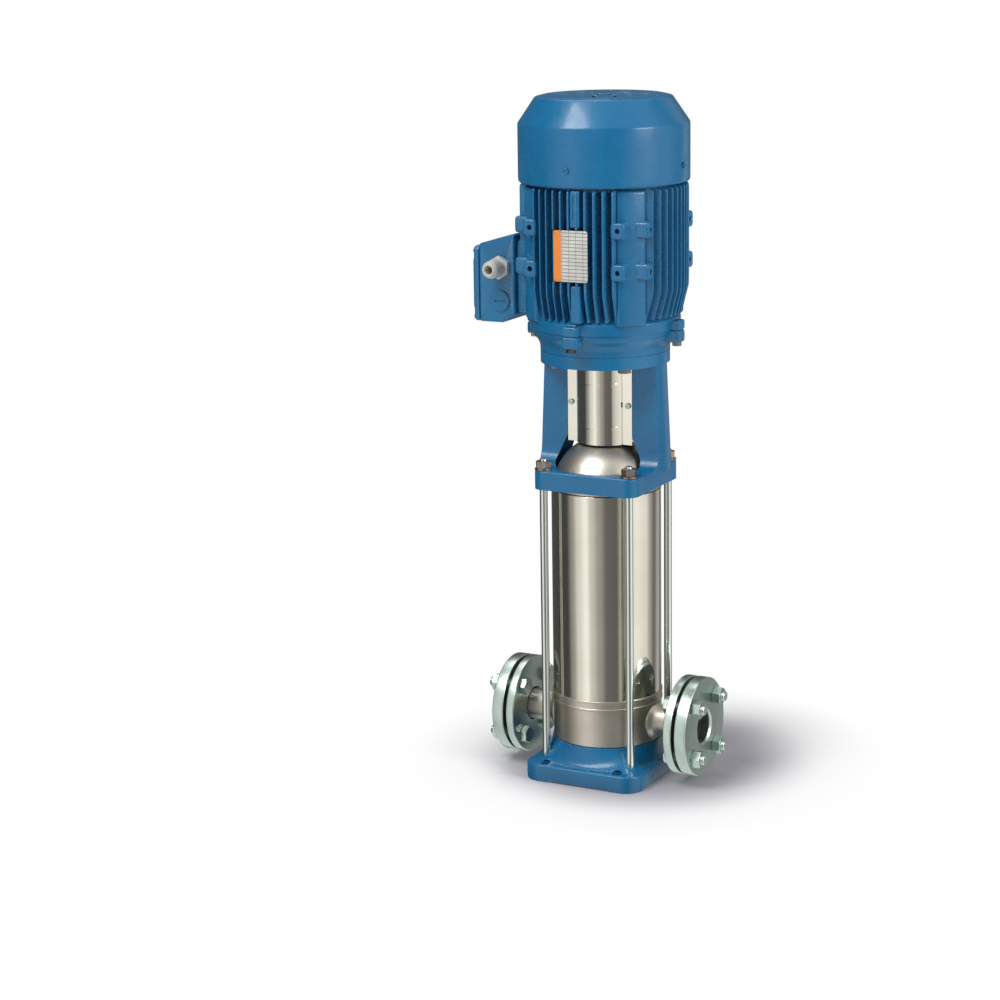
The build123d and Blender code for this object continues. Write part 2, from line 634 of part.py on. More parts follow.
def make_gaskets():
    ring = to_plus_x(tube(LAP_RADIUS, PIPE_BORE, PORT_FACE, COUNTER_INNER))
    return group([ring, mirror(ring, about=Plane.YZ)])


def make_flange_bolts():
    head_low = LOOSE_INNER - FLANGE_BOLT_HEAD
    end = COUNTER_OUTER + FLANGE_NUT_HEIGHT + FLANGE_BOLT_END
    bolt = hexagon(FLANGE_BOLT_ACROSS, head_low, LOOSE_INNER) + post(FLANGE_BOLT_RADIUS, LOOSE_INNER, end)
    return on_bolt_circle(bolt)


def make_flange_nuts():
    nut = hexagon(FLANGE_BOLT_ACROSS, COUNTER_OUTER, COUNTER_OUTER + FLANGE_NUT_HEIGHT)
    nut -= post(FLANGE_BOLT_RADIUS + SLIDE_GAP, COUNTER_OUTER, COUNTER_OUTER + FLANGE_NUT_HEIGHT)
    return on_bolt_circle(nut)


def on_bolt_circle(piece):
    turn = 360 / FLANGE_BOLTS
    one_side = [to_plus_x(Rot(0, 0, turn * (k + 0.5)) * Pos(BOLT_CIRCLE / 2, 0, 0) * piece)
                for k in range(FLANGE_BOLTS)]
    return group(one_side + [mirror(each, about=Plane.YZ) for each in one_side])


# ---- tie rods: four long rods that clamp lantern, cover and jacket to the base ----
def at_rods(piece):
    return group([Pos(sx * ROD_AT, sy * ROD_AT, 0) * piece for sx, sy in CORNERS])


def make_tie_rods():
    end = LANTERN_FLANGE_TOP + WASHER_THICKNESS + NUT_HEIGHT + ROD_END
    return at_rods(post(ROD_RADIUS, PLINTH_TOP - ROD_DEPTH, end))


def make_tie_rod_nuts():
    low = LANTERN_FLANGE_TOP
    nut = hexagon(NUT_ACROSS, low + WASHER_THICKNESS, low + WASHER_THICKNESS + NUT_HEIGHT)
    nut -= post(ROD_RADIUS + SLIDE_GAP, low + WASHER_THICKNESS, low + WASHER_THICKNESS + NUT_HEIGHT)
    washer = tube(WASHER_RADIUS, ROD_RADIUS + BOLT_GAP, low, low + WASHER_THICKNESS)
    return group([at_rods(nut), at_rods(washer)])


# ---- upper cover: pressed dome that closes the jacket and holds the shaft seal ----
def dome_face(inset):
    """Half section of the dome, its wall's outer face moved in by inset."""
    radius = COVER_RADIUS - inset
    crown = COVER_CROWN - inset
    bulge = math.sqrt(0.5)
    middle = (COVER_CROWN_RADIUS + (radius - COVER_CROWN_RADIUS) * bulge,
              COVER_SHOULDER + (crown - COVER_SHOULDER) * bulge)
    side = Polyline((0, LANTERN_LOW - COVER_RIM), (radius, LANTERN_LOW - COVER_RIM), (radius, COVER_SHOULDER))
    arc = ThreePointArc((radius, COVER_SHOULDER), middle, (COVER_CROWN_RADIUS, crown))
    top = Polyline((COVER_CROWN_RADIUS, crown), (0, crown), (0, LANTERN_LOW - COVER_RIM))
    return make_face(Plane.XZ * (side + arc + top))


def make_upper_cover():
    cover = revolve(dome_face(0), Axis.Z) - revolve(dome_face(COVER_WALL), Axis.Z)
    cover += tube(CASING_RADIUS, COVER_RADIUS - COVER_WALL, LANTERN_LOW - COVER_RIM, LANTERN_LOW)
    cover += post(COVER_NECK_RADIUS, COVER_CROWN - COVER_WALL, COVER_NECK_TOP)
    cover += post(BUSH_RADIUS + SPACER_WALL, SEAL_CUP_LOW + SEAL_CUP_SHOWN, COVER_CROWN)
    cover += tube(SPACER_RADIUS, SPACER_RADIUS - SPACER_WALL, SPACER_TOP, COVER_CROWN - COVER_WALL - JOIN)
    cover -= post(BUSH_RADIUS + SLIDE_GAP, SEAL_CUP_LOW, SEAL_SEAT_LOW + SEAL_SEAT_HEIGHT)
    cover -= post(SHAFT_RADIUS + WEAR_GAP, SEAL_SEAT_LOW, COVER_NECK_TOP)
    return cover


# ---- lantern bracket: iron casting that carries the motor over the coupling ----
def leg_outline():
    """Legs seen along X: straight sides that flare into the flange at the foot."""
    foot, top = LANTERN_FLANGE_TOP - JOIN, LANTERN_RING_LOW + JOIN
    knee = LANTERN_FLANGE_TOP + LEG_FLARE_HEIGHT
    spread = LEG_FOOT_HALF_WIDTH - LEG_HALF_WIDTH
    bend = (LEG_HALF_WIDTH + LEG_FLARE_BEND * spread, foot + LEG_FLARE_BEND * (knee - foot))
    right = ThreePointArc((LEG_FOOT_HALF_WIDTH, foot), bend, (LEG_HALF_WIDTH, knee))
    left = ThreePointArc((-LEG_HALF_WIDTH, knee), (-bend[0], bend[1]), (-LEG_FOOT_HALF_WIDTH, foot))
    over = Polyline((LEG_HALF_WIDTH, knee), (LEG_HALF_WIDTH, top), (-LEG_HALF_WIDTH, top), (-LEG_HALF_WIDTH, knee))
    under = Line((-LEG_FOOT_HALF_WIDTH, foot), (LEG_FOOT_HALF_WIDTH, foot))
    return make_face(Plane.YZ * (right + over + left + under))


def make_lantern():
    foot, ring_low = LANTERN_FLANGE_TOP, LANTERN_RING_LOW
    mouth = COVER_RADIUS + 2 * WEAR_GAP
    bell = turned((LANTERN_BORE, foot - JOIN), (LEG_FOOT_RADIUS, foot - JOIN), (LEG_TOP_RADIUS, ring_low + JOIN),
                  (LANTERN_BORE, ring_low + JOIN))
    legs = bell & extrude(leg_outline(), LEG_FOOT_RADIUS + JOIN, both=True)
    pocket_half = LEG_HALF_WIDTH - LEG_WALL
    for side in (-1, 1):
        near, far = sorted((side * (LANTERN_BORE - LEG_WALL), side * (LEG_TOP_RADIUS - LEG_WALL)))
        legs -= block((near, -pocket_half, foot + LEG_FLARE_HEIGHT), (far, pocket_half, ring_low - LEG_WALL))
    flange = extrude(Pos(0, 0, LANTERN_LOW) * RectangleRounded(LANTERN_SQUARE, LANTERN_SQUARE, LANTERN_CORNER),
                     LANTERN_FLANGE)
    flange = fillet(flange.edges().group_by(Axis.Z)[-1], RIM_ROUND)
    ring = post(LANTERN_RING_RADIUS, ring_low, MOTOR_FACE)
    lantern = flange + legs + ring
    lantern -= turned((0, LANTERN_LOW), (mouth, LANTERN_LOW), (mouth, foot + BORE_FLARE_LOW),
                      (LANTERN_BORE, foot + BORE_FLARE_HEIGHT), (0, foot + BORE_FLARE_HEIGHT))
    lantern -= post(LANTERN_BORE, foot, MOTOR_FACE)
    lantern -= post(SPIGOT_RADIUS + 2 * SLIDE_GAP, MOTOR_FACE - SPIGOT_HEIGHT - WEAR_GAP, MOTOR_FACE)
    for sx in (-1, 1):
        for sy in (-1, 1):
            x_low, x_high = sorted((sx * (GUARD_SCREW_X - GUARD_BOSS_HALF_WIDTH), sx * (LANTERN_BORE + JOIN)))
            y_low, y_high = sorted((sy * (LEG_HALF_WIDTH - LEG_WALL), sy * (LEG_HALF_WIDTH - GUARD_SHEET)))
            low, high = GUARD_SCREW_HEIGHT - GUARD_BOSS, GUARD_SCREW_HEIGHT + GUARD_BOSS
            lantern += block((x_low, y_low, low), (x_high, y_high, high))
            lantern -= post(ROD_RADIUS + BOLT_GAP, LANTERN_LOW, foot, sx * ROD_AT, sy * ROD_AT)
            hole = post(SMALL_SCREW_RADIUS + SLIDE_GAP, 0, LEG_HALF_WIDTH + JOIN)
            lantern -= Pos(sx * GUARD_SCREW_X, 0, GUARD_SCREW_HEIGHT) * Rot(sy * -90, 0, 0) * hole
    for hole in on_motor_bolts(post(MOTOR_BOLT_RADIUS + BOLT_GAP, ring_low, MOTOR_FACE)):
        lantern -= hole
    return lantern


# ---- coupling guards: two formed stainless sheets in the lantern's windows ----
def make_guard():
    strip = LEG_HALF_WIDTH - GUARD_SHEET / 2
    radius = GUARD_RADIUS - GUARD_SHEET / 2
    edge = math.sqrt(radius ** 2 - strip ** 2)
    left = Line((-GUARD_REACH, -strip), (-edge, -strip))
    bulge = ThreePointArc((-edge, -strip), (0, -radius), (edge, -strip))
    right = Line((edge, -strip), (GUARD_REACH, -strip))
    sheet = extrude(Pos(0, 0, GUARD_LOW) * trace(left + bulge + right, GUARD_SHEET), GUARD_TOP - GUARD_LOW)
    for height in (GUARD_LOW + GUARD_BEAD_EDGE, GUARD_TOP - GUARD_BEAD_EDGE):
        low, high = height - GUARD_BEAD_WIDTH / 2, height + GUARD_BEAD_WIDTH / 2
        bead = tube(GUARD_RADIUS + GUARD_BEAD, radius, low, high)
        sheet += bead & block((-edge, -2 * GUARD_RADIUS, low), (edge, -LEG_HALF_WIDTH, high))
    for side in (-1, 1):
        hole = post(SMALL_SCREW_RADIUS + SLIDE_GAP, 0, GUARD_RADIUS)
        sheet -= Pos(side * GUARD_SCREW_X, 0, GUARD_SCREW_HEIGHT) * Rot(90, 0, 0) * hole
    return sheet


# ---- hydraulic stages ----
def curved_vane(inner, outer, sweep, thickness, low, high):
    """One vane between two radii that leans back by sweep degrees on its way out."""
    stations = ((inner, 0), ((inner + outer) / 2, sweep * VANE_BEND), (outer, sweep))

    def side(sign):
        points = []
        for radius, degrees in stations:
            angle = math.radians(degrees) + sign * thickness / 2 / radius
            points.append((radius * math.cos(angle), radius * math.sin(angle)))
        return points

    left, right = side(1), side(-1)
    outline = ThreePointArc(*left) + Line(left[2], right[2])
    outline += ThreePointArc(*reversed(right)) + Line(right[0], left[0])
    return extrude(Pos(0, 0, low) * make_face(outline), high - low)


def make_impeller():
    """Closed impeller of stage one: neck, front shroud, curved vanes, back shroud, hub."""
    front = STACK_LOW + IMPELLER_LIFT
    vane_low = front + SHROUD
    vane_top = vane_low + VANE_HEIGHT
    eye = NECK_RADIUS - NECK_WALL
    wheel = turned((eye, STACK_LOW - NECK_DROP), (NECK_RADIUS, STACK_LOW - NECK_DROP), (NECK_RADIUS, front),
                   (IMPELLER_RADIUS, front), (IMPELLER_RADIUS, vane_low), (eye, vane_low))
    wheel += post(IMPELLER_RADIUS, vane_top, vane_top + SHROUD)
    hub_low = STACK_LOW - HUB_DROP
    wheel += post(HUB_RADIUS, hub_low, hub_low + STAGE_PITCH)
    for k in range(IMPELLER_VANES):
        vane = curved_vane(eye + JOIN, IMPELLER_RADIUS - JOIN, VANE_SWEEP, VANE_THICKNESS, vane_low, vane_top)
        wheel += Rot(0, 0, k * 360 / IMPELLER_VANES) * vane
    return wheel - post(SHAFT_RADIUS + SLIDE_GAP, hub_low, hub_low + STAGE_PITCH)


def make_stage_casing():
    """Pressed cup of stage one, with the guide plate and the return vanes under its roof."""
    top = STACK_LOW + STAGE_PITCH
    roof = top - STAGE_PLATE
    cup = turned((STAGE_BORE, STACK_LOW), (STAGE_RADIUS, STACK_LOW), (STAGE_RADIUS, top),
                 (NECK_RADIUS + WEAR_GAP, top), (NECK_RADIUS + WEAR_GAP, roof), (STAGE_BORE, roof))
    guide = STACK_LOW + GUIDE_LIFT
    cup += tube(GUIDE_RADIUS, HUB_RADIUS + WEAR_GAP, guide, guide + SHROUD)
    inner, outer = NECK_RADIUS + 2 * JOIN, STAGE_BORE + STAGE_WALL / 2
    for k in range(RETURN_VANES):
        vane = curved_vane(inner, outer, RETURN_SWEEP, VANE_THICKNESS, guide + SHROUD, roof)
        cup += Rot(0, 0, k * 360 / RETURN_VANES) * vane
    return cup


def make_delivery_spacer():
    spacer = tube(SPACER_RADIUS, SPACER_RADIUS - SPACER_WALL, STACK_TOP, SPACER_TOP)
    spacer += tube(STAGE_RADIUS, BUSH_RADIUS, STACK_TOP, STACK_TOP + SPACER_PLATE)
    spacer += tube(BUSH_RADIUS + SPACER_WALL, BUSH_RADIUS, STACK_TOP, BUSH_LOW + BUSH_HEIGHT)
    spacer -= post(BUSH_RADIUS + SLIDE_GAP, BUSH_LOW, BUSH_LOW + BUSH_HEIGHT)
    middle = (STACK_TOP + SPACER_PLATE + SPACER_TOP) / 2
    ring_middle = (BUSH_RADIUS + SPACER_RADIUS) / 2
    for k in range(SPACER_HOLES):
        turn = Rot(0, 0, (k + 0.5) * 360 / SPACER_HOLES)
        bore = Rot(0, 90, 0) * post(SPACER_HOLE_RADIUS, BUSH_RADIUS + 2 * SPACER_WALL, SPACER_RADIUS + JOIN)
        spacer -= turn * Pos(0, 0, middle) * bore
        spacer -= turn * post(SPACER_HOLE_RADIUS / 2, STACK_TOP, STACK_TOP + SPACER_PLATE, ring_middle)
    return spacer


# ---- shaft line of the pump ----
def make_shaft_nut():
    top = STACK_LOW - HUB_DROP
    nut = hexagon(SHAFT_NUT_ACROSS, top - SHAFT_NUT_HEIGHT, top)
    return nut - post(SHAFT_RADIUS + SLIDE_GAP, top - SHAFT_NUT_HEIGHT, top)


def make_seal_head():
    cup = tube(SEAL_RADIUS - SEAL_STEP, SHAFT_RADIUS + SLIDE_GAP, SEAL_CUP_LOW, SEAL_CUP_TOP)
    ring = tube(SEAL_RADIUS, SHAFT_RADIUS + SLIDE_GAP, SEAL_CUP_TOP, SEAL_SEAT_LOW)
    return group([cup, ring])


def clamp_spots():
    return [(side * CLAMP_X, height) for side in (-1, 1) for height in CLAMP_HEIGHTS]


def make_coupling_half():
    """Front half of the split muff; the rear half is the same piece turned round."""
    muff = post(COUPLING_RADIUS, COUPLING_LOW, COUPLING_TOP)
    muff -= post(SHAFT_RADIUS + SLIDE_GAP, COUPLING_LOW, MOTOR_SHAFT_END)
    muff -= post(MOTOR_SHAFT_RADIUS + SLIDE_GAP, MOTOR_SHAFT_END, COUPLING_TOP)
    for x, height in clamp_spots():
        muff -= Pos(x, 0, height) * Rot(90, 0, 0) * post(CLAMP_RADIUS + SLIDE_GAP, 0, CLAMP_FACE)
        muff -= Pos(x, 0, height) * Rot(90, 0, 0) * post(CLAMP_HEAD_RADIUS + BOLT_GAP, CLAMP_FACE, COUPLING_RADIUS)
    reach = COUPLING_RADIUS + JOIN
    return muff & block((-reach, -reach, COUPLING_LOW), (reach, -COUPLING_SPLIT / 2, COUPLING_TOP))


def make_coupling_screws():
    shank = post(CLAMP_RADIUS, -CLAMP_FACE, CLAMP_FACE)
    head = post(CLAMP_HEAD_RADIUS, CLAMP_FACE, CLAMP_FACE + CLAMP_HEAD)
    screw = Rot(90, 0, 0) * (shank + head)
    return group([Pos(x, 0, height) * screw for x, height in clamp_spots()])


# ---- motor ----
def on_lugs(piece):
    """Repeats a piece made on the +X lug round the four lugs."""
    return [Rot(0, 0, quarter) * piece for quarter in QUARTERS]


def on_motor_bolts(piece):
    """Repeats a piece at the four bolts of the motor's flange."""
    return [Rot(0, 0, 45 + quarter) * Pos(MOTOR_BOLT_AT, 0, 0) * piece for quarter in QUARTERS]


def make_drive_end_shield():
    face, top, rim = MOTOR_FACE, SHIELD_TOP, LANTERN_RING_RADIUS
    low = BEARING_LOW[0]
    seat_top = low + BEARING_WIDTH + BEARING_LIP
    hub = BEARING_RADIUS + BEARING_WALL
    shaft_hole = MOTOR_SHAFT_RADIUS + SHAFT_CLEARANCE
    shoulder = [(rim + out, face + up) for out, up in SHIELD_SHOULDER]
    shield = turned(
        (SPIGOT_RADIUS - SPIGOT_WALL, face - SPIGOT_HEIGHT), (SPIGOT_RADIUS, face - SPIGOT_HEIGHT),
        (SPIGOT_RADIUS, face), (rim, face), (rim, face + SHIELD_RIM), *shoulder,
        (FRAME_BAND_RADIUS - JOIN, top), (FRAME_BORE - SLIDE_GAP, top), (FRAME_BORE - SLIDE_GAP, top + SHIELD_LAP),
        (FRAME_BORE - SHIELD_LAP_WALL, top + SHIELD_LAP), (FRAME_BORE - SHIELD_LAP_WALL, top - SHIELD_WEB),
        (hub + BEARING_HUB_FLARE, top - SHIELD_WEB - BEARING_HUB_SLOPE), (hub, seat_top),
        (BEARING_RADIUS + SLIDE_GAP, seat_top), (BEARING_RADIUS + SLIDE_GAP, low), (shaft_hole, low),
        (shaft_hole, low - BEARING_FLOOR), (SPIGOT_RADIUS - SPIGOT_WALL, low - BEARING_FLOOR))
    for lug in on_lugs(block((rim, -LUG_WIDTH / 2, LUG_LOW), (LUG_RADIUS, LUG_WIDTH / 2, top))):
        shield += lug
    shield -= tube(2 * FRAME_BAND_RADIUS, LUG_RADIUS, LUG_LOW, top)
    for hole in on_lugs(post(SHIELD_SCREW_RADIUS + BOLT_GAP, LUG_LOW, top, SHIELD_SCREW_AT)):
        shield -= hole
    for hole in on_motor_bolts(post(MOTOR_BOLT_RADIUS + SLIDE_GAP, face, face + MOTOR_BOLT_DEPTH)):
        shield -= hole
    return shield


def fin_stock():
    """Parallel fins on the four faces, before they are cut to the round outline."""
    fins = []
    for quarter in QUARTERS:
        for k in range(-FINS_PER_SIDE, FINS_PER_SIDE + 1):
            at = k * FIN_PITCH
            inner = math.sqrt(FRAME_RADIUS ** 2 - at ** 2) - FIN_ROOT
            low = (inner, at - FIN_THICKNESS / 2, FIN_LOW - JOIN)
            high = (FIN_RADIUS + JOIN, at + FIN_THICKNESS / 2, FIN_TOP)
            fins.append(Rot(0, 0, quarter) * block(low, high))
    return fins


def make_motor_frame():
    root = FRAME_RADIUS - COLUMN_ROOT
    outline = turned((root, FIN_LOW - JOIN), (FIN_FOOT_RADIUS, FIN_LOW - JOIN),
                     (FIN_RADIUS, FIN_LOW + FIN_TAPER_HEIGHT), (FIN_RADIUS, FIN_TOP), (root, FIN_TOP))
    frame = (Part() + fin_stock()) & outline
    frame += turned(
        (FRAME_BORE, SHIELD_TOP), (FRAME_BAND_RADIUS, SHIELD_TOP), (FRAME_BAND_RADIUS, FIN_LOW - BAND_BLEND),
        (FRAME_RADIUS, FIN_LOW + BAND_BLEND), (FRAME_RADIUS, FRAME_TOP - REAR_BAND_HEIGHT - BAND_CHAMFER),
        (REAR_BAND_RADIUS, FRAME_TOP - REAR_BAND_HEIGHT), (REAR_BAND_RADIUS, FRAME_TOP), (FRAME_BORE, FRAME_TOP))
    foot = FIN_LOW - COLUMN_DROP
    column = post(COLUMN_RADIUS, foot, FIN_TOP) & block(
        (root, -COLUMN_WIDTH / 2, foot), (COLUMN_RADIUS, COLUMN_WIDTH / 2, FIN_TOP))
    for sx, sy in CORNERS:
        frame += Rot(0, 0, math.degrees(math.atan2(sy, sx))) * column
        for height in PAD_HEIGHTS:
            frame += foot_pads(sx, sy, height)
    for lug in on_lugs(block((FRAME_RADIUS, -LUG_WIDTH / 2, SHIELD_TOP), (LUG_RADIUS, LUG_WIDTH / 2, LUG_TOP))):
        frame += lug & post(LUG_RADIUS, SHIELD_TOP, LUG_TOP)
    rail = RAIL_WIDTH / 2
    frame += block((RAIL_X - rail, -RAIL_FACE, FIN_LOW - JOIN), (RAIL_X + rail, -root + JOIN, FIN_TOP))
    frame += block((-BOX_INNER_X, -SADDLE_HALF_Y, SADDLE_LOW), (-root + JOIN, SADDLE_HALF_Y, SADDLE_TOP))
    room = BOX_HALF_Y + BOX_GAP
    frame -= block((-FIN_RADIUS - JOIN, -room, LUG_TOP), (-BOX_INNER_X, room, BOX_TOP_INNER + BOX_GAP))
    frame -= block((-BOX_INNER_X, SADDLE_WALL - SADDLE_HALF_Y, SADDLE_LOW + SADDLE_WALL),
                   (-FRAME_RADIUS, SADDLE_HALF_Y - SADDLE_WALL, SADDLE_TOP - SADDLE_WALL))
    frame -= post(FRAME_BORE, SHIELD_TOP, FRAME_TOP)
    half_width, half_height = PLATE_WIDTH / 2 + PLATE_GAP, PLATE_HEIGHT / 2 + PLATE_GAP
    frame -= block((PLATE_X - half_width, -FIN_RADIUS - JOIN, PLATE_CENTRE - half_height),
                   (PLATE_X + half_width, -PLATE_FACE, PLATE_CENTRE + half_height))
    for hole in on_lugs(post(SHIELD_SCREW_RADIUS + SLIDE_GAP, SHIELD_TOP, LUG_TOP, SHIELD_SCREW_AT)):
        frame -= hole
    return frame


def foot_pads(sx, sy, height):
    """Two flat pads at right angles on a corner column, where feet can be screwed on."""
    near, far = PAD_CENTRE - PAD_WIDTH / 2, PAD_CENTRE + PAD_WIDTH / 2
    pads = []
    for along_x in (True, False):
        low_x, high_x = (near, PAD_FACE) if along_x else (near, far)
        low_y, high_y = (near, far) if along_x else (near, PAD_FACE)
        pad = block((low_x, low_y, height - PAD_HEIGHT / 2), (high_x, high_y, height + PAD_HEIGHT / 2))
        turn = Rot(0, 90, 0) if along_x else Rot(-90, 0, 0)
        spot = (0, PAD_CENTRE, height) if along_x else (PAD_CENTRE, 0, height)
        pad -= Pos(*spot) * turn * post(PAD_HOLE_RADIUS, PAD_FACE - PAD_HOLE_DEPTH, PAD_FACE)
        if sx < 0:
            pad = mirror(pad, about=Plane.YZ)
        if sy < 0:
            pad = mirror(pad, about=Plane.XZ)
        pads.append(pad & post(FIN_RADIUS + FIN_ROOT, height - PAD_HEIGHT, height + PAD_HEIGHT))
    return pads


def make_rear_end_shield():
    low, bearing = FRAME_TOP, BEARING_LOW[1]
    plate_top = low + REAR_SHIELD_THICKNESS
    hub = BEARING_RADIUS + BEARING_WALL
    shaft_hole = FAN_SHAFT_RADIUS + SHAFT_CLEARANCE
    lap = FRAME_BORE - SHIELD_LAP_WALL
    shield = turned(
        (lap, low - SHIELD_LAP), (FRAME_BORE - SLIDE_GAP, low - SHIELD_LAP), (FRAME_BORE - SLIDE_GAP, low),
        (REAR_BAND_RADIUS, low), (REAR_BAND_RADIUS, plate_top),
        (hub + BEARING_HUB_FLARE, plate_top + BEARING_HUB_SLOPE), (hub, REAR_HUB_TOP),
        (shaft_hole, REAR_HUB_TOP), (shaft_hole, bearing + BEARING_WIDTH),
        (BEARING_RADIUS + SLIDE_GAP, bearing + BEARING_WIDTH), (BEARING_RADIUS + SLIDE_GAP, low - BEARING_LIP),
        (hub, low - BEARING_LIP), (lap, low))
    cowl_bore = COWL_RADIUS - COWL_SHEET
    top = COVER_SCREW_HEIGHT + COVER_SCREW_EDGE
    lug = block((FRAME_BORE, -LUG_WIDTH / 2, low), (cowl_bore, LUG_WIDTH / 2, top)) & post(cowl_bore, low, top)
    for each in on_lugs(lug):
        shield += each
    hole = Rot(0, 90, 0) * post(SMALL_SCREW_RADIUS + SLIDE_GAP, cowl_bore - COVER_SCREW_DEPTH, cowl_bore)
    for each in on_lugs(Pos(0, 0, COVER_SCREW_HEIGHT) * hole):
        shield -= each
    return shield


def bearing_rings(outer, inner):
    return group([tube(outer, inner, low, low + BEARING_WIDTH) for low in BEARING_LOW])


def make_bearing_cages():
    outer = BEARING_RADIUS - BEARING_RACE - BEARING_GAP
    inner = BEARING_BORE + BEARING_RACE + BEARING_GAP
    return group([tube(outer, inner, low + BEARING_LIP, low + BEARING_WIDTH - BEARING_LIP) for low in BEARING_LOW])


def make_motor_shaft():
    front, rear = BEARING_LOW
    return turned(
        (0, MOTOR_SHAFT_END), (MOTOR_SHAFT_RADIUS, MOTOR_SHAFT_END), (MOTOR_SHAFT_RADIUS, front - SHAFT_SHOULDER),
        (BEARING_BORE, front - SHAFT_SHOULDER), (BEARING_BORE, front + BEARING_WIDTH),
        (ROTOR_SHAFT_RADIUS, front + BEARING_WIDTH), (ROTOR_SHAFT_RADIUS, rear), (BEARING_BORE, rear),
        (BEARING_BORE, rear + BEARING_WIDTH), (FAN_SHAFT_RADIUS, rear + BEARING_WIDTH),
        (FAN_SHAFT_RADIUS, FAN_TOP - FAN_SHAFT_DROP), (0, FAN_TOP - FAN_SHAFT_DROP))


def make_windings():
    outer, inner = FRAME_BORE - WINDING_INSET, ROTOR_RADIUS + WINDING_INSET
    low = tube(outer, inner, CORE_LOW - WINDING_HEIGHT, CORE_LOW)
    high = tube(outer, inner, CORE_TOP, CORE_TOP + WINDING_HEIGHT)
    return group([low, high])


def make_fan():
    fan = post(FAN_SHAFT_RADIUS + FAN_HUB_WALL, FAN_LOW, FAN_TOP - FAN_HUB_DROP)
    fan += post(FAN_RADIUS - FAN_DISC_INSET, FAN_LOW, FAN_LOW + FAN_BLADE)
    root, half = FAN_SHAFT_RADIUS + FAN_HUB_WALL / 2, FAN_BLADE / 2
    blade = block((root, -half, FAN_LOW), (FAN_RADIUS, half, FAN_TOP))
    for k in range(FAN_BLADES):
        fan += Rot(0, 0, k * 360 / FAN_BLADES) * blade
    return fan - post(FAN_SHAFT_RADIUS + SLIDE_GAP, FAN_LOW, FAN_TOP)


def cowl_solid(inset):
    """The fan cover's outer form, made smaller all round by inset."""
    radius, top, crown = COWL_RADIUS - inset, COWL_TOP - inset, COWL_CROWN - inset
    lip = COWL_TOP_RADIUS - inset * COWL_CONE_INSET
    return turned((0, COWL_LOW), (radius, COWL_LOW), (radius, COWL_SHOULDER), (lip, top),
                  (lip - COWL_LIP, top + COWL_LIP_RISE), (lip / 2, crown - COWL_CROWN_EASE), (0, crown))


def make_fan_cover():
    cover = cowl_solid(0) - cowl_solid(COWL_SHEET)
    slots = []
    for inner, outer in GRILLE_RINGS:
        for k in range(GRILLE_SLOTS):
            half = GRILLE_SLOT_WIDTH / 2
            slot = block((inner, -half, COWL_TOP - COWL_LIP), (outer, half, COWL_CROWN + JOIN))
            slots.append(Rot(0, 0, k * 360 / GRILLE_SLOTS) * slot)
    cover -= slots
    hole = Rot(0, 90, 0) * post(SMALL_SCREW_RADIUS + SLIDE_GAP, 0, COWL_RADIUS + JOIN)
    return cover - on_lugs(Pos(0, 0, COVER_SCREW_HEIGHT) * hole)


# ---- terminal box on the suction side of the motor ----
def box_outline(inset):
    """The box seen along Y: its roof falls towards the lid."""
    back, low = -BOX_INNER_X - inset, BOX_LOW + inset
    heel_out, heel_up = BOX_HEEL
    return Polyline((back, low + heel_up), (back, BOX_TOP_INNER - inset),
                    (-BOX_LID_X, BOX_TOP_OUTER + LID_DROP - inset), (-BOX_LID_X, low),
                    (-BOX_INNER_X - heel_out, low), close=True)


def make_terminal_box():
    body = extrude(make_face(Plane.XZ * box_outline(0)), BOX_HALF_Y, both=True)
    body -= extrude(make_face(Plane.XZ * box_outline(BOX_WALL)), BOX_HALF_Y - BOX_WALL, both=True)
    lead_hole = Rot(0, -90, 0) * post(LEAD_HOLE_RADIUS, BOX_INNER_X, BOX_INNER_X + BOX_WALL)
    body -= Pos(0, 0, (SADDLE_LOW + SADDLE_TOP) / 2) * lead_hole
    for height in (GLAND_HEIGHT, PLUG_HEIGHT):
        hole = to_minus_y(post(GLAND_THREAD_RADIUS + SLIDE_GAP, BOX_HALF_Y - BOX_WALL, BOX_HALF_Y))
        body -= Pos(-GLAND_X, 0, height) * hole
    for y, z in lid_screw_spots():
        body += lid_boss(y, z)
    return body


def lid_screw_spots():
    reach = BOX_HALF_Y - LID_SCREW_EDGE
    heights = (BOX_LOW + LID_SCREW_EDGE, BOX_TOP_OUTER - LID_SCREW_EDGE)
    return [(side * reach, z) for side in (-1, 1) for z in heights]


def lid_boss(y, z):
    """A screw boss inside one corner of the box, behind the lid."""
    boss = block((-BOX_LID_X, y - LID_BOSS, z - LID_BOSS),
                 (-BOX_LID_X + LID_BOSS_DEPTH, y + LID_BOSS, z + LID_BOSS))
    hole = Rot(0, -90, 0) * post(SMALL_SCREW_RADIUS + SLIDE_GAP, BOX_LID_X - LID_HOLE_DEPTH, BOX_LID_X)
    return boss - Pos(0, y, z) * hole


def make_terminal_lid():
    middle = (BOX_LOW + BOX_TOP_OUTER) / 2
    face = Plane(origin=(-BOX_LID_X, 0, middle), x_dir=(0, 1, 0), z_dir=(-1, 0, 0))
    lid = extrude(face * RectangleRounded(2 * BOX_HALF_Y, BOX_TOP_OUTER - BOX_LOW, BOX_ROUND), BOX_LID)
    lid = chamfer(lid.faces().sort_by(Axis.X)[0].edges(), LID_CHAMFER)
    for y, z in lid_screw_spots():
        lid -= Pos(0, y, z) * Rot(0, -90, 0) * post(SMALL_SCREW_RADIUS + SLIDE_GAP, BOX_LID_X, BOX_OUTER_X)
        seat = post(SMALL_SCREW_HEAD_RADIUS + BOLT_GAP, BOX_OUTER_X - LID_SCREW_SEAT, BOX_OUTER_X)
        lid -= Pos(0, y, z) * Rot(0, -90, 0) * seat
    return lid


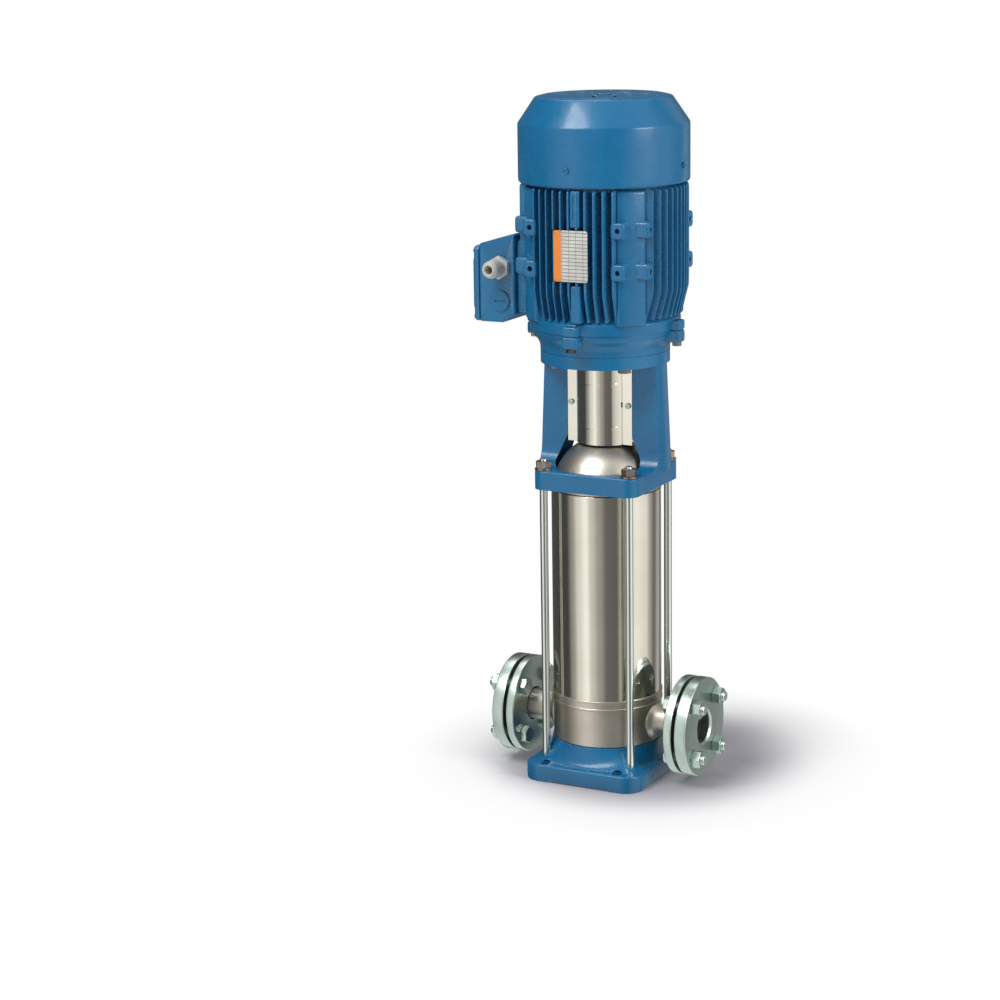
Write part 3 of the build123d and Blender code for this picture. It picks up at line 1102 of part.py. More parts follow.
def make_gland():
    """Cable gland: thread in the box wall, hexagon, neck and domed cap nut."""
    face, end = BOX_HALF_Y, BOX_HALF_Y + GLAND_REACH
    low = face - BOX_WALL - GLAND_THREAD_END
    cap_low = face + GLAND_HEXAGON + GLAND_NECK
    cap_top = cap_low + GLAND_CAP
    dome_low, dome_top = GLAND_DOME_STEPS
    gland = post(GLAND_THREAD_RADIUS, low, face) + hexagon(GLAND_ACROSS, face, face + GLAND_HEXAGON)
    gland += post(GLAND_RADIUS - GLAND_NECK_STEP, face + GLAND_HEXAGON, cap_low)
    gland += hexagon(2 * GLAND_RADIUS, cap_low, cap_top)
    gland += turned((0, cap_top), (GLAND_RADIUS, cap_top), (GLAND_RADIUS - dome_low, end - GLAND_DOME),
                    (GLAND_RADIUS - dome_top, end), (0, end))
    gland -= post(GLAND_BORE_RADIUS, low, end)
    return Pos(-GLAND_X, 0, GLAND_HEIGHT) * to_minus_y(gland)


def make_blanking_plug():
    face, head = BOX_HALF_Y, BOX_HALF_Y + PLUG_HEAD
    plug = post(GLAND_THREAD_RADIUS, face - BOX_WALL - PLUG_THREAD_END, face) + post(PLUG_RADIUS, face, head)
    reach = PLUG_RADIUS - PLUG_SLOT_EDGE
    plug -= block((-reach, -PLUG_SLOT / 2, head - PLUG_SLOT_DEPTH), (reach, PLUG_SLOT / 2, head))
    return Pos(-GLAND_X, 0, PLUG_HEIGHT) * to_minus_y(plug)


def make_terminal_block():
    back = -BOX_INNER_X - BOX_WALL
    middle = (SADDLE_LOW + SADDLE_TOP) / 2
    board = block((back - BLOCK_DEPTH, -BLOCK_HALF_WIDTH, middle - BLOCK_HALF_HEIGHT),
                  (back, BLOCK_HALF_WIDTH, middle + BLOCK_HALF_HEIGHT))
    stud = Rot(0, -90, 0) * hexagon(STUD_ACROSS, -JOIN, STUD_HEIGHT)
    for y in (-STUD_PITCH_Y, 0, STUD_PITCH_Y):
        for z in (-STUD_PITCH_Z / 2, STUD_PITCH_Z / 2):
            board += Pos(back - BLOCK_DEPTH, y, middle + z) * stud
    return board


def make_nameplate():
    low = (PLATE_X - PLATE_WIDTH / 2, -PLATE_FACE - PLATE_SHEET, PLATE_CENTRE - PLATE_HEIGHT / 2)
    high = (PLATE_X + PLATE_WIDTH / 2, -PLATE_FACE, PLATE_CENTRE + PLATE_HEIGHT / 2)
    pieces = [block(low, high)]
    for sx, sz in CORNERS:
        x = PLATE_X + sx * (PLATE_WIDTH / 2 - RIVET_EDGE)
        z = PLATE_CENTRE + sz * (PLATE_HEIGHT / 2 - RIVET_EDGE)
        face = PLATE_FACE + PLATE_SHEET
        pieces.append(Pos(x, 0, z) * to_minus_y(post(RIVET_RADIUS, face, face + RIVET_HEAD)))
    return group(pieces)


# ---- screws ----
def make_small_screws():
    """Alike machine screws of the guards, the fan cover and the terminal lid."""
    screw = post(SMALL_SCREW_RADIUS, -SMALL_SCREW_LENGTH, 0) + post(SMALL_SCREW_HEAD_RADIUS, 0, SMALL_SCREW_HEAD)
    placed = []
    for sx, sy in CORNERS:
        seat = Pos(sx * GUARD_SCREW_X, sy * LEG_HALF_WIDTH, GUARD_SCREW_HEIGHT)
        placed.append(seat * Rot(sy * -90, 0, 0) * screw)
    for quarter in QUARTERS:
        placed.append(Rot(0, 0, quarter) * Pos(COWL_RADIUS, 0, COVER_SCREW_HEIGHT) * Rot(0, 90, 0) * screw)
    for y, z in lid_screw_spots():
        placed.append(Pos(LID_SCREW_SEAT - BOX_OUTER_X, y, z) * Rot(0, -90, 0) * screw)
    return group(placed)


def make_shield_screws():
    head = hexagon(SHIELD_SCREW_ACROSS, LUG_LOW - SHIELD_SCREW_HEAD, LUG_LOW)
    screw = head + post(SHIELD_SCREW_RADIUS, LUG_LOW, LUG_TOP - THREAD_SPARE)
    return group(on_lugs(Pos(SHIELD_SCREW_AT, 0, 0) * screw))


def make_flange_screws():
    low = LANTERN_RING_LOW
    head = hexagon(MOTOR_BOLT_ACROSS, low - MOTOR_BOLT_HEAD, low)
    screw = head + post(MOTOR_BOLT_RADIUS, low, MOTOR_FACE + MOTOR_BOLT_DEPTH - THREAD_SPARE)
    return group(on_motor_bolts(screw))


guard = make_guard()
half = make_coupling_half()
loose_flange = make_loose_flange()
counter_flange = make_counter_flange()
stage_casing = make_stage_casing()
impeller = make_impeller()
stage_shift = [Pos(0, 0, k * STAGE_PITCH) for k in range(STAGES)]

parts = {
    "base": make_base(),
    "pump_casing": make_casing(),
    "drain_plug": make_drain_plug(),
    "outer_jacket": make_jacket(),
    "jacket_seals": make_jacket_seals(),
    "suction_loose_flange": mirror(loose_flange, about=Plane.YZ),
    "delivery_loose_flange": loose_flange,
    "suction_counter_flange": mirror(counter_flange, about=Plane.YZ),
    "delivery_counter_flange": counter_flange,
    "flange_gaskets": make_gaskets(),
    "flange_bolts": make_flange_bolts(),
    "flange_nuts": make_flange_nuts(),
    "tie_rods": make_tie_rods(),
    "tie_rod_nuts": make_tie_rod_nuts(),
    "upper_cover": make_upper_cover(),
    "lantern_bracket": make_lantern(),
    "coupling_guard_front": guard,
    "coupling_guard_rear": Rot(0, 0, 180) * guard,
    "delivery_spacer": make_delivery_spacer(),
    "bearing_bush": tube(BUSH_RADIUS, SLEEVE_RADIUS + SLIDE_GAP, BUSH_LOW, BUSH_LOW + BUSH_HEIGHT),
    "stage_casings": group([shift * stage_casing for shift in stage_shift]),
    "pump_shaft": post(SHAFT_RADIUS, SHAFT_LOW, SHAFT_TOP),
    "shaft_nut": make_shaft_nut(),
    "shaft_sleeve": tube(SLEEVE_RADIUS, SHAFT_RADIUS + SLIDE_GAP, STACK_TOP - HUB_DROP, SEAL_CUP_LOW),
    "seal_seat": tube(BUSH_RADIUS, SHAFT_RADIUS + SEAL_SEAT_GAP, SEAL_SEAT_LOW, SEAL_SEAT_LOW + SEAL_SEAT_HEIGHT),
    "seal_head": make_seal_head(),
    "coupling_half_front": half,
    "coupling_half_rear": Rot(0, 0, 180) * half,
    "coupling_screws": make_coupling_screws(),
    "drive_end_shield": make_drive_end_shield(),
    "motor_frame": make_motor_frame(),
    "rear_end_shield": make_rear_end_shield(),
    "bearing_outer_rings": bearing_rings(BEARING_RADIUS, BEARING_RADIUS - BEARING_RACE),
    "bearing_inner_rings": bearing_rings(BEARING_BORE + BEARING_RACE, BEARING_BORE + SLIDE_GAP),
    "bearing_cages": make_bearing_cages(),
    "motor_shaft": make_motor_shaft(),
    "rotor_core": tube(ROTOR_RADIUS, ROTOR_SHAFT_RADIUS + SLIDE_GAP, CORE_LOW, CORE_TOP),
    "stator_core": tube(FRAME_BORE - SLIDE_GAP, ROTOR_RADIUS + AIR_GAP, CORE_LOW, CORE_TOP),
    "stator_windings": make_windings(),
    "fan": make_fan(),
    "fan_cover": make_fan_cover(),
    "terminal_box": make_terminal_box(),
    "terminal_lid": make_terminal_lid(),
    "cable_gland": make_gland(),
    "blanking_plug": make_blanking_plug(),
    "terminal_block": make_terminal_block(),
    "nameplate": make_nameplate(),
    "small_screws": make_small_screws(),
    "shield_screws": make_shield_screws(),
    "motor_flange_screws": make_flange_screws(),
}
for number, shift in enumerate(stage_shift, start=1):
    parts[f"impeller_{number}"] = shift * impeller

os.makedirs("parts", exist_ok=True)
for name, shape in parts.items():
    export_step(shape, f"parts/{name}.step")
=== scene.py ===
import json
import math

import bpy
import numpy as np
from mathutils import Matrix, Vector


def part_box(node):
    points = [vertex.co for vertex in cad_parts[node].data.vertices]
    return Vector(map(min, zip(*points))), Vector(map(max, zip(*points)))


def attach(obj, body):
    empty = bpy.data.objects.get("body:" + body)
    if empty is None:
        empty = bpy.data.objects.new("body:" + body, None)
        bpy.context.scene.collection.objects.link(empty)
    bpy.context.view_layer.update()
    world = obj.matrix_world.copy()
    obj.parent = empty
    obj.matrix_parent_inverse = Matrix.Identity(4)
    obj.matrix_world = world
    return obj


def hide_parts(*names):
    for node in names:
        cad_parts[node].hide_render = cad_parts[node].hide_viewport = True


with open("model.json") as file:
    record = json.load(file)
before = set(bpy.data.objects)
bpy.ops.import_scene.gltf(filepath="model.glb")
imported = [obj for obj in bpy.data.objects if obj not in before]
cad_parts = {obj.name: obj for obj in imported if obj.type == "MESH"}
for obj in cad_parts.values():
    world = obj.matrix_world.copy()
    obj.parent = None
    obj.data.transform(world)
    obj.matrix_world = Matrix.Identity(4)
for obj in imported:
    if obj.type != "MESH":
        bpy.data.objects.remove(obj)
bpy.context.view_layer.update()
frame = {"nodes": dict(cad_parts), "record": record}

# Vertical multistage pump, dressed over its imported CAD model. Pieces are worked out in the CAD's
# millimetres and written to their meshes in metres. +Z is up the shaft, -Y faces the nameplate.
MM = 0.001
nodes = frame["nodes"]


def span(node):
    """Lowest and highest corner of a CAD node, in millimetres."""
    low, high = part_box(node)
    return np.array(low) / MM, np.array(high) / MM


# ---- studio: a pale floor that fades into a white backdrop, and soft light from large panels ----
# The floor keeps the pump's shadow near its feet, and its colour is also painted darker in an oval round the
# feet as a painted shadow. A round screen, seen only in reflections, reaches above and below it and gives the
# polished steel the light and dark uprights of a studio.
FLOOR_HALF, SHADE_MIDDLE = 12.0, (-0.03, -0.07, 0)
SHADE_FROM, SHADE_TO, WHITE_FROM, WHITE_TO = 0.14, 0.30, 0.20, 0.40
SCREEN_RADIUS, SCREEN_HEIGHT, SCREEN_DEPTH, SCREEN_SIDES = 3.2, 4.6, 3.0, 96
CAMERA_DISTANCE, CAMERA_HEIGHT, CAMERA_LENS = 3.8, 1.296, 93.25
CAMERA_AZIMUTH, CAMERA_YAW = math.radians(25.35), math.radians(27.76)
CAMERA_PITCH, CAMERA_ROLL = math.radians(12.94), math.radians(-0.92)


def new_material(name):
    """An empty node material. Returns the material, its nodes and its links."""
    material = bpy.data.materials.new(name)
    material.use_nodes = True
    material.node_tree.nodes.clear()
    return material, material.node_tree.nodes, material.node_tree.links


def step(parts, wires, kind, inputs=None, **settings):
    """A shader node of a kind with its own settings. Each input takes a value or another node's output."""
    made = parts.new("ShaderNode" + kind)
    for field, value in settings.items():
        setattr(made, field, value)
    for socket, value in (inputs or {}).items():
        if isinstance(value, bpy.types.NodeSocket):
            wires.new(value, made.inputs[socket])
        else:
            made.inputs[socket].default_value = value
    return made


def finished(parts, wires, surface, kind="OutputMaterial"):
    """Ends a node tree in its surface."""
    step(parts, wires, kind, {"Surface": surface})


def stage_piece(name, points, faces, material):
    """A mesh that belongs to the studio and not to the pump."""
    mesh = bpy.data.meshes.new(name)
    mesh.from_pydata(points, [], faces)
    thing = bpy.data.objects.new(name, mesh)
    bpy.context.scene.collection.objects.link(thing)
    mesh.materials.append(material)
    return thing


floor_paint, parts, wires = new_material("floor_paint")
place = step(parts, wires, "TexCoord").outputs["Object"]
shifted = step(parts, wires, "Mapping", {"Vector": place, "Location": SHADE_MIDDLE}).outputs["Vector"]
away = step(parts, wires, "VectorMath", {0: shifted}, operation="LENGTH").outputs["Value"]
fade = step(parts, wires, "MapRange", {"Value": away, "From Min": WHITE_FROM, "From Max": WHITE_TO},
            interpolation_type="SMOOTHSTEP").outputs["Result"]
# painted shadow: the floor's colour goes from grey-violet round the pump's feet to pale grey further out
shade = step(parts, wires, "MapRange", {"Value": away, "From Min": SHADE_FROM, "From Max": SHADE_TO},
             interpolation_type="SMOOTHSTEP").outputs["Result"]
painted_shadow_colour = step(parts, wires, "Mix", {"A": (0.34, 0.325, 0.37, 1), "B": (0.86, 0.86, 0.87, 1), "Factor": shade},
            data_type="RGBA").outputs["Result"]
matt = step(parts, wires, "BsdfDiffuse", {"Color": painted_shadow_colour}).outputs[0]
glow = step(parts, wires, "Emission", {"Strength": 0.06}).outputs[0]
lit = step(parts, wires, "AddShader", {0: matt, 1: glow}).outputs[0]
white = step(parts, wires, "Emission").outputs[0]
near_far = step(parts, wires, "MixShader", {"Fac": fade, 1: lit, 2: white}).outputs[0]
ray = step(parts, wires, "LightPath").outputs
seen = step(parts, wires, "Math", {0: ray["Is Camera Ray"], 1: ray["Is Transmission Ray"]}, operation="MAXIMUM")
shown = step(parts, wires, "MixShader", {"Fac": seen.outputs[0], 1: matt, 2: near_far})
finished(parts, wires, shown.outputs[0])
half = FLOOR_HALF
floor = stage_piece("floor", [(-half, -half, 0), (half, -half, 0), (half, half, 0), (-half, half, 0)],
                    [(0, 1, 2, 3)], floor_paint)
floor.visible_glossy = False

# light and dark uprights by azimuth in degrees: 0 faces -Y, 90 faces +X
UPRIGHTS = ((-180, 0.10), (-112, 0.06), (-66, 0.06), (-50, 0.32), (-36, 0.72), (-18, 1.0),
            (-6, 0.60), (10, 0.34), (26, 0.14), (46, 0.12), (57, 0.56), (72, 0.76),
            (90, 0.90), (114, 0.78), (130, 0.34), (142, 0.14), (162, 0.40), (180, 0.10))
screen_paint, parts, wires = new_material("screen_paint")
split = step(parts, wires, "SeparateXYZ", {0: step(parts, wires, "TexCoord").outputs["Object"]}).outputs
forward = step(parts, wires, "Math", {0: split["Y"], 1: -1}, operation="MULTIPLY").outputs[0]
turn = step(parts, wires, "Math", {0: split["X"], 1: forward}, operation="ARCTAN2").outputs[0]
share = step(parts, wires, "MapRange", {"From Min": -math.pi, "From Max": math.pi, "Value": turn})
bands = step(parts, wires, "ValToRGB", {"Fac": share.outputs["Result"]})
bands.color_ramp.interpolation = "EASE"
ramp = bands.color_ramp.elements
for k, (azimuth, level) in enumerate(UPRIGHTS):
    at = (azimuth + 180) / 360
    stop = ramp[k] if k < 2 else ramp.new(at)
    stop.position = at
    stop.color = (level, level, level * 0.96, 1)
light = step(parts, wires, "Emission", {"Color": bands.outputs["Color"], "Strength": 1.35})
finished(parts, wires, light.outputs[0])
count = SCREEN_SIDES
turns = np.arange(count) * 2 * math.pi / count
foot = np.stack([SCREEN_RADIUS * np.cos(turns), SCREEN_RADIUS * np.sin(turns), 0 * turns - SCREEN_DEPTH], 1)
wall = np.vstack([foot, foot + (0, 0, SCREEN_DEPTH + SCREEN_HEIGHT)])
sides = [(k, (k + 1) % count, count + (k + 1) % count, count + k) for k in range(count)]
screen = stage_piece("light_screen", wall.tolist(), sides, screen_paint)
screen.visible_camera = screen.visible_diffuse = screen.visible_shadow = screen.visible_transmission = False

world = bpy.data.worlds.new("studio")
bpy.context.scene.world = world
world.use_nodes = True
parts, wires = world.node_tree.nodes, world.node_tree.links
parts.clear()
ray = step(parts, wires, "LightPath").outputs
seen = step(parts, wires, "Math", {0: ray["Is Camera Ray"], 1: ray["Is Glossy Ray"]}, operation="MAXIMUM")
clear = step(parts, wires, "Math", {0: seen.outputs[0], 1: ray["Is Transmission Ray"]},
             operation="MAXIMUM").outputs[0]
level = step(parts, wires, "MapRange", {"To Min": 0.34, "To Max": 1.0, "Value": clear}).outputs["Result"]
sky = step(parts, wires, "Background", {"Strength": level, "Color": (1, 1, 1, 1)})
finished(parts, wires, sky.outputs[0], "OutputWorld")


def stand(name, data, right, up, back, at):
    """An object of a light or camera at a spot, its three axes given."""
    thing = bpy.data.objects.new(name, data)
    bpy.context.scene.collection.objects.link(thing)
    for row in range(3):
        for column, axis in enumerate((right, up, back, at)):
            thing.matrix_world[row][column] = axis[row]
    return thing


def soft_panel(name, at, aim, size, power):
    """A square light panel at a spot, facing another."""
    lamp = bpy.data.lights.new(name, "AREA")
    lamp.size = size
    lamp.energy = power
    back = np.array(at, float) - np.array(aim, float)
    back /= np.linalg.norm(back)
    right = np.cross((0, 0, 1), back)
    right /= np.linalg.norm(right)
    stand(name, lamp, right, np.cross(back, right), back, at)


soft_panel("key_panel", (-0.9, -2.0, 3.2), (0, 0, 0.5), 1.5, 74)
soft_panel("side_panel", (2.9, -0.5, 1.6), (0, 0, 0.6), 1.2, 44)
soft_panel("back_panel", (-1.4, 1.6, 3.9), (0, 0, 0.6), 1.6, 22)

sin_yaw, cos_yaw = math.sin(CAMERA_YAW), math.cos(CAMERA_YAW)
sin_roll, cos_roll = math.sin(CAMERA_ROLL), math.cos(CAMERA_ROLL)
ahead = np.array([-sin_yaw * math.cos(CAMERA_PITCH), cos_yaw * math.cos(CAMERA_PITCH), -math.sin(CAMERA_PITCH)])
level_right = np.array([cos_yaw, sin_yaw, 0])
level_up = np.cross(level_right, ahead)
right = cos_roll * level_right + sin_roll * level_up
up = -sin_roll * level_right + cos_roll * level_up
spot = (CAMERA_DISTANCE * math.sin(CAMERA_AZIMUTH), -CAMERA_DISTANCE * math.cos(CAMERA_AZIMUTH), CAMERA_HEIGHT)
lens = bpy.data.cameras.new("camera")
lens.lens = CAMERA_LENS
lens.sensor_width = 36
bpy.context.scene.camera = stand("camera", lens, right, up, -ahead, spot)
bpy.context.scene.view_settings.view_transform = "Standard"


# ---- finishes of the castings and sheets: gloss blue enamel over iron and pressed steel ----
# Iron castings are sprayed over a sand-cast skin; the fan cover's sheet is smooth, so its enamel
# shows only a slight orange peel.
def grain(parts, wires, scale, detail=3.0, stretch=(1, 1, 1)):
    """Noise on Object coordinates, with scale in features per metre, stretched by direction."""
    place = step(parts, wires, "TexCoord").outputs["Object"]
    fit = step(parts, wires, "Mapping", {"Scale": stretch, "Vector": place}).outputs["Vector"]
    return step(parts, wires, "TexNoise", {"Scale": scale, "Detail": detail, "Vector": fit}).outputs["Fac"]


def between(parts, wires, value, low, high, start=0.3, stop=0.7):
    """Spreads a noise's middle range over low to high."""
    spread = {"Value": value, "From Min": start, "From Max": stop, "To Min": low, "To Max": high}
    return step(parts, wires, "MapRange", spread).outputs["Result"]


def blend(parts, wires, factor, one, two):
    """Mixes two colours, each a tuple or another node's colour, by a factor."""
    one, two = ((*colour, 1) if isinstance(colour, tuple) else colour for colour in (one, two))
    return step(parts, wires, "Mix", {"Factor": factor, "A": one, "B": two}, data_type="RGBA").outputs["Result"]


def relief(parts, wires, height, depth, onto=None):
    """Bumps a surface by a height, depth in millimetres, on top of an earlier bump."""
    given = {"Strength": 1.0, "Distance": depth * MM, "Height": height}
    if onto is not None:
        given["Normal"] = onto
    return step(parts, wires, "Bump", given).outputs["Normal"]


def edge_wear(parts, wires, start=0.53, stop=0.60):
    """Near 1 on sharp outer edges, from the mesh's own pointiness, broken up by noise."""
    shape = step(parts, wires, "NewGeometry").outputs["Pointiness"]
    edge = between(parts, wires, shape, 0, 1, start, stop)
    broken = between(parts, wires, grain(parts, wires, 420), 0.2, 1, 0.42, 0.62)
    return step(parts, wires, "Math", {0: edge, 1: broken}, operation="MULTIPLY", use_clamp=True).outputs[0]


def enamel(name, deep, bright, skin_depth, worn=True):
    """Gloss paint: two blues in soft patches, thin and paler on edges, over a skin of given depth."""
    material, parts, wires = new_material(name)
    patches = between(parts, wires, grain(parts, wires, 9, 4), 0, 1)
    paint = blend(parts, wires, patches, deep, bright)
    if worn:
        pale = tuple(1.0 - (1.0 - c) * 0.90 for c in bright)
        paint = blend(parts, wires, edge_wear(parts, wires), paint, pale)
    rough = between(parts, wires, grain(parts, wires, 55, 4), 0.20, 0.34)
    cast = relief(parts, wires, grain(parts, wires, 210, 4), skin_depth)
    peel = relief(parts, wires, grain(parts, wires, 900, 2), 0.012, cast)
    shader = step(parts, wires, "BsdfPrincipled", {
        "Base Color": paint, "Roughness": rough, "Normal": peel,
        "Specular IOR Level": 0.36, "Coat Weight": 0.18, "Coat Roughness": 0.10})
    finished(parts, wires, shader.outputs[0])
    return material


def metal(name, dark, light, rough, grain_scale, depth, stretch=(1, 1, 1), patch=14, worn=None):
    """Bare or plated metal: colour in soft patches, tool marks stretched along one direction."""
    material, parts, wires = new_material(name)
    colour = blend(parts, wires, between(parts, wires, grain(parts, wires, patch, 4), 0, 1), dark, light)
    if worn:
        colour = blend(parts, wires, edge_wear(parts, wires), colour, worn)
    marks = grain(parts, wires, grain_scale, 3, stretch)
    shader = step(parts, wires, "BsdfPrincipled", {
        "Metallic": 1.0, "Base Color": colour, "Roughness": between(parts, wires, marks, *rough),
        "Normal": relief(parts, wires, marks, depth)})
    finished(parts, wires, shader.outputs[0])
    return material


def moulded(name, dark, light, rough, grain_scale, depth):
    """Moulded plastic, rubber or carbon: even colour in faint patches over a fine matt texture."""
    material, parts, wires = new_material(name)
    colour = blend(parts, wires, between(parts, wires, grain(parts, wires, 22, 4), 0, 1), dark, light)
    texture = grain(parts, wires, grain_scale, 3)
    shader = step(parts, wires, "BsdfPrincipled", {
        "Base Color": colour, "Roughness": between(parts, wires, texture, *rough),
        "Normal": relief(parts, wires, texture, depth)})
    finished(parts, wires, shader.outputs[0])
    return material


# Each kind's own values: the darker and lighter colour, the range of roughness, the marks' scale per
# metre and depth in millimetres, and for metals their stretch. The last of each enamel is its skin's depth.
ENAMELS = {"painted_casting": ("cast_enamel", (0.003, 0.118, 0.270), (0.006, 0.150, 0.325), 0.07),
           "painted_sheet": ("sheet_enamel", (0.004, 0.125, 0.285), (0.007, 0.155, 0.335), 0.015)}
METALS = {
    "satin_stainless": ((0.47, 0.43, 0.37), (0.60, 0.56, 0.49), (0.36, 0.44), 30, 0.002, (4, 4, 30)),
    "polished_stainless": ((0.62, 0.59, 0.52), (0.68, 0.65, 0.58), (0.07, 0.12), 30, 0.001, (3, 3, 40)),
    "zinc_steel": ((0.38, 0.47, 0.43), (0.49, 0.58, 0.54), (0.27, 0.36), 160, 0.001),
    "dark_steel": ((0.17, 0.14, 0.12), (0.34, 0.29, 0.25), (0.28, 0.44), 300, 0.008),
    "bearing_steel": ((0.55, 0.56, 0.58), (0.68, 0.69, 0.70), (0.08, 0.2), 60, 0.003, (1, 1, 12)),
    "electrical_steel": ((0.24, 0.25, 0.27), (0.42, 0.43, 0.45), (0.35, 0.5), 20, 0.06, (0.2, 0.2, 100)),
    "varnished_copper": ((0.36, 0.13, 0.05), (0.55, 0.24, 0.10), (0.22, 0.38), 60, 0.12, (1, 1, 14)),
    "plate_metal": ((0.60, 0.58, 0.54), (0.70, 0.68, 0.64), (0.30, 0.42), 30, 0.004, (40, 40, 1)),
}
MOULDINGS = {
    "black_rubber": ((0.018, 0.018, 0.018), (0.034, 0.034, 0.034), (0.55, 0.75), 700, 0.03),
    "carbon": ((0.030, 0.030, 0.033), (0.050, 0.050, 0.054), (0.28, 0.42), 900, 0.008),
    "grey_plastic": ((0.52, 0.51, 0.46), (0.62, 0.61, 0.55), (0.38, 0.52), 1100, 0.012),
    "dark_plastic": ((0.030, 0.030, 0.032), (0.050, 0.050, 0.052), (0.38, 0.52), 900, 0.015),
}
EDGE_COLOURS = {"zinc_steel": (0.74, 0.78, 0.75), "dark_steel": (0.62, 0.58, 0.52)}
finishes = {name: metal(name, *values, worn=EDGE_COLOURS.get(name)) for name, values in METALS.items()}
finishes |= {name: moulded(name, *values) for name, values in MOULDINGS.items()}
finishes |= {slot: enamel(*values) for slot, values in ENAMELS.items()}
# the same finishes without edge wear, for the CAD's own meshes, whose triangles aren't joined
unworn = dict(finishes)
unworn["painted_casting"] = enamel("cast_enamel_even", *ENAMELS["painted_casting"][1:], worn=False)
for name in EDGE_COLOURS:
    unworn[name] = metal(name + "_even", *METALS[name])
for each in frame["record"]["subparts"]:
    mesh = nodes[each["node"]].data
    for k in range(len(mesh.materials)):
        mesh.materials[k] = unworn[each["material_slot"]]


# ---- base: iron casting, a square plate with a thick rim that sweeps up to a round collar ----
# The rods screw into it beside the collar, four holes take the foundation bolts, and the plate stands
# on its four corners. Its underside is hollow.
BASE_CORNER, RIM_HEIGHT, RIM_ROUND, RIM_FLAT, FOOT_RELIEF, FOOT_LENGTH = 28.0, 26.0, 3.0, 6.0, 2.0, 46.0
COLLAR_RADIUS, COLLAR_FALL, POCKET_RADIUS, POCKET_TOP = 84.0, 27.0, 62.0, 42.0
HOLE_RADIUS, HOLE_X, HOLE_Y, HOLE_WALL = 7.0, 60.0, 95.0, 0.8
CORNERS = ((1, 1), (-1, 1), (-1, -1), (1, -1))


def shell(points, ring=False):
    """A closed skin from a grid of points: columns go round, rows go along, and both ends are closed by
    a fan to their middle, or, for a ring, the last row joins the first. Faces are turned outwards."""
    rows, columns = points.shape[:2]
    i, j = np.meshgrid(np.arange(rows if ring else rows - 1), np.arange(columns), indexing="ij")
    below, above, beside = i * columns, (i + 1) % rows * columns, (j + 1) % columns
    faces = np.stack([below + j, below + beside, above + beside, above + j], -1).reshape(-1, 4)
    spots = points.reshape(-1, 3)
    fans = np.zeros((0, 3), int)
    if not ring:
        low, high = np.arange(columns), np.arange(columns) + (rows - 1) * columns
        middle = len(spots)
        fans = np.vstack([np.stack([np.roll(low, -1), low, np.full(columns, middle)], 1),
                          np.stack([high, np.roll(high, -1), np.full(columns, middle + 1)], 1)])
        spots = np.vstack([spots, points[0].mean(0), points[-1].mean(0)])
    corners = np.vstack([faces[:, :3], faces[:, [0, 2, 3]], fans])
    a, b, c = (spots[corners[:, k]] for k in range(3))
    if np.einsum("ij,ij->i", a, np.cross(b, c)).sum() < 0:
        faces, fans = faces[:, ::-1], fans[:, ::-1]
    return spots, faces.tolist() + fans.tolist()


def rounded(corners, closed=False, step=15):
    """Corners as (across, up, radius) made into a smooth outline: each turns into an arc that touches
    both its sides, with a point every few degrees."""
    spots = np.array([corner[:2] for corner in corners], float)
    line = []
    for k, (x, y, radius) in enumerate(corners):
        here = spots[k]
        if radius == 0 or (not closed and k in (0, len(corners) - 1)):
            line.append(here[None])
            continue
        back, on = spots[k - 1] - here, spots[(k + 1) % len(corners)] - here
        room = min(np.linalg.norm(back), np.linalg.norm(on)) * 0.499
        back, on = back / np.linalg.norm(back), on / np.linalg.norm(on)
        half = math.acos(np.clip(back @ on, -1, 1)) / 2
        radius = min(radius, room * math.tan(half))
        centre = here + (back + on) / np.linalg.norm(back + on) * radius / math.sin(half)
        start = here + back * radius / math.tan(half) - centre
        sweep = (math.pi - 2 * half) * np.sign(back[0] * on[1] - back[1] * on[0]) * -1
        turns = np.linspace(0, sweep, max(2, math.ceil(abs(math.degrees(sweep)) / step)) + 1)
        cos, sin = np.cos(turns), np.sin(turns)
        line.append(centre + np.stack([start[0] * cos - start[1] * sin, start[0] * sin + start[1] * cos], 1))
    return np.vstack(line)


def turned(profile, columns=128):
    """A grid about the shaft line: each (radius, height) of the profile becomes a circle."""
    turns = np.arange(columns) * 2 * math.pi / columns
    radius, height = profile[:, 0, None], profile[:, 1, None]
    return np.stack([radius * np.cos(turns), radius * np.sin(turns), height + 0 * turns], -1)


def pierced(skin, centre, radius, axes, reach=1.5, side=0):
    """Opens a round hole through a skin, on one side of x = 0 where a side is given: corners near its
    rim move onto it, and faces inside it go."""
    spots, faces = skin
    here = spots[:, 0] * side >= 0
    offset = spots[:, axes] - np.array(centre)
    away = np.linalg.norm(offset, axis=1)
    near = (np.abs(away - radius) < reach) & here
    spots[np.ix_(near, axes)] = np.array(centre) + offset[near] * (radius / away[near])[:, None]
    inside = (away <= radius - reach) & here
    return spots, [face for face in faces if not inside[list(face)].any()]


def dress(name, shells, slot, *covers, body="pump_body", crease=35):
    """Joins skins into one piece in a finish, on a body, in place of the CAD nodes it covers."""
    spots, faces, count = [], [], 0
    for points, sides in shells:
        spots.append(points)
        faces += [[corner + count for corner in side] for side in sides]
        count += len(points)
    mesh = bpy.data.meshes.new(name)
    mesh.from_pydata((np.vstack(spots) * MM).tolist(), [], faces)
    mesh.polygons.foreach_set("use_smooth", np.ones(len(faces), bool))
    mesh.set_sharp_from_angle(angle=math.radians(crease))
    mesh.materials.append(finishes[slot])
    piece = bpy.data.objects.new(name, mesh)
    bpy.context.scene.collection.objects.link(piece)
    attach(piece, body)
    if covers:
        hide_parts(*covers)
    return piece


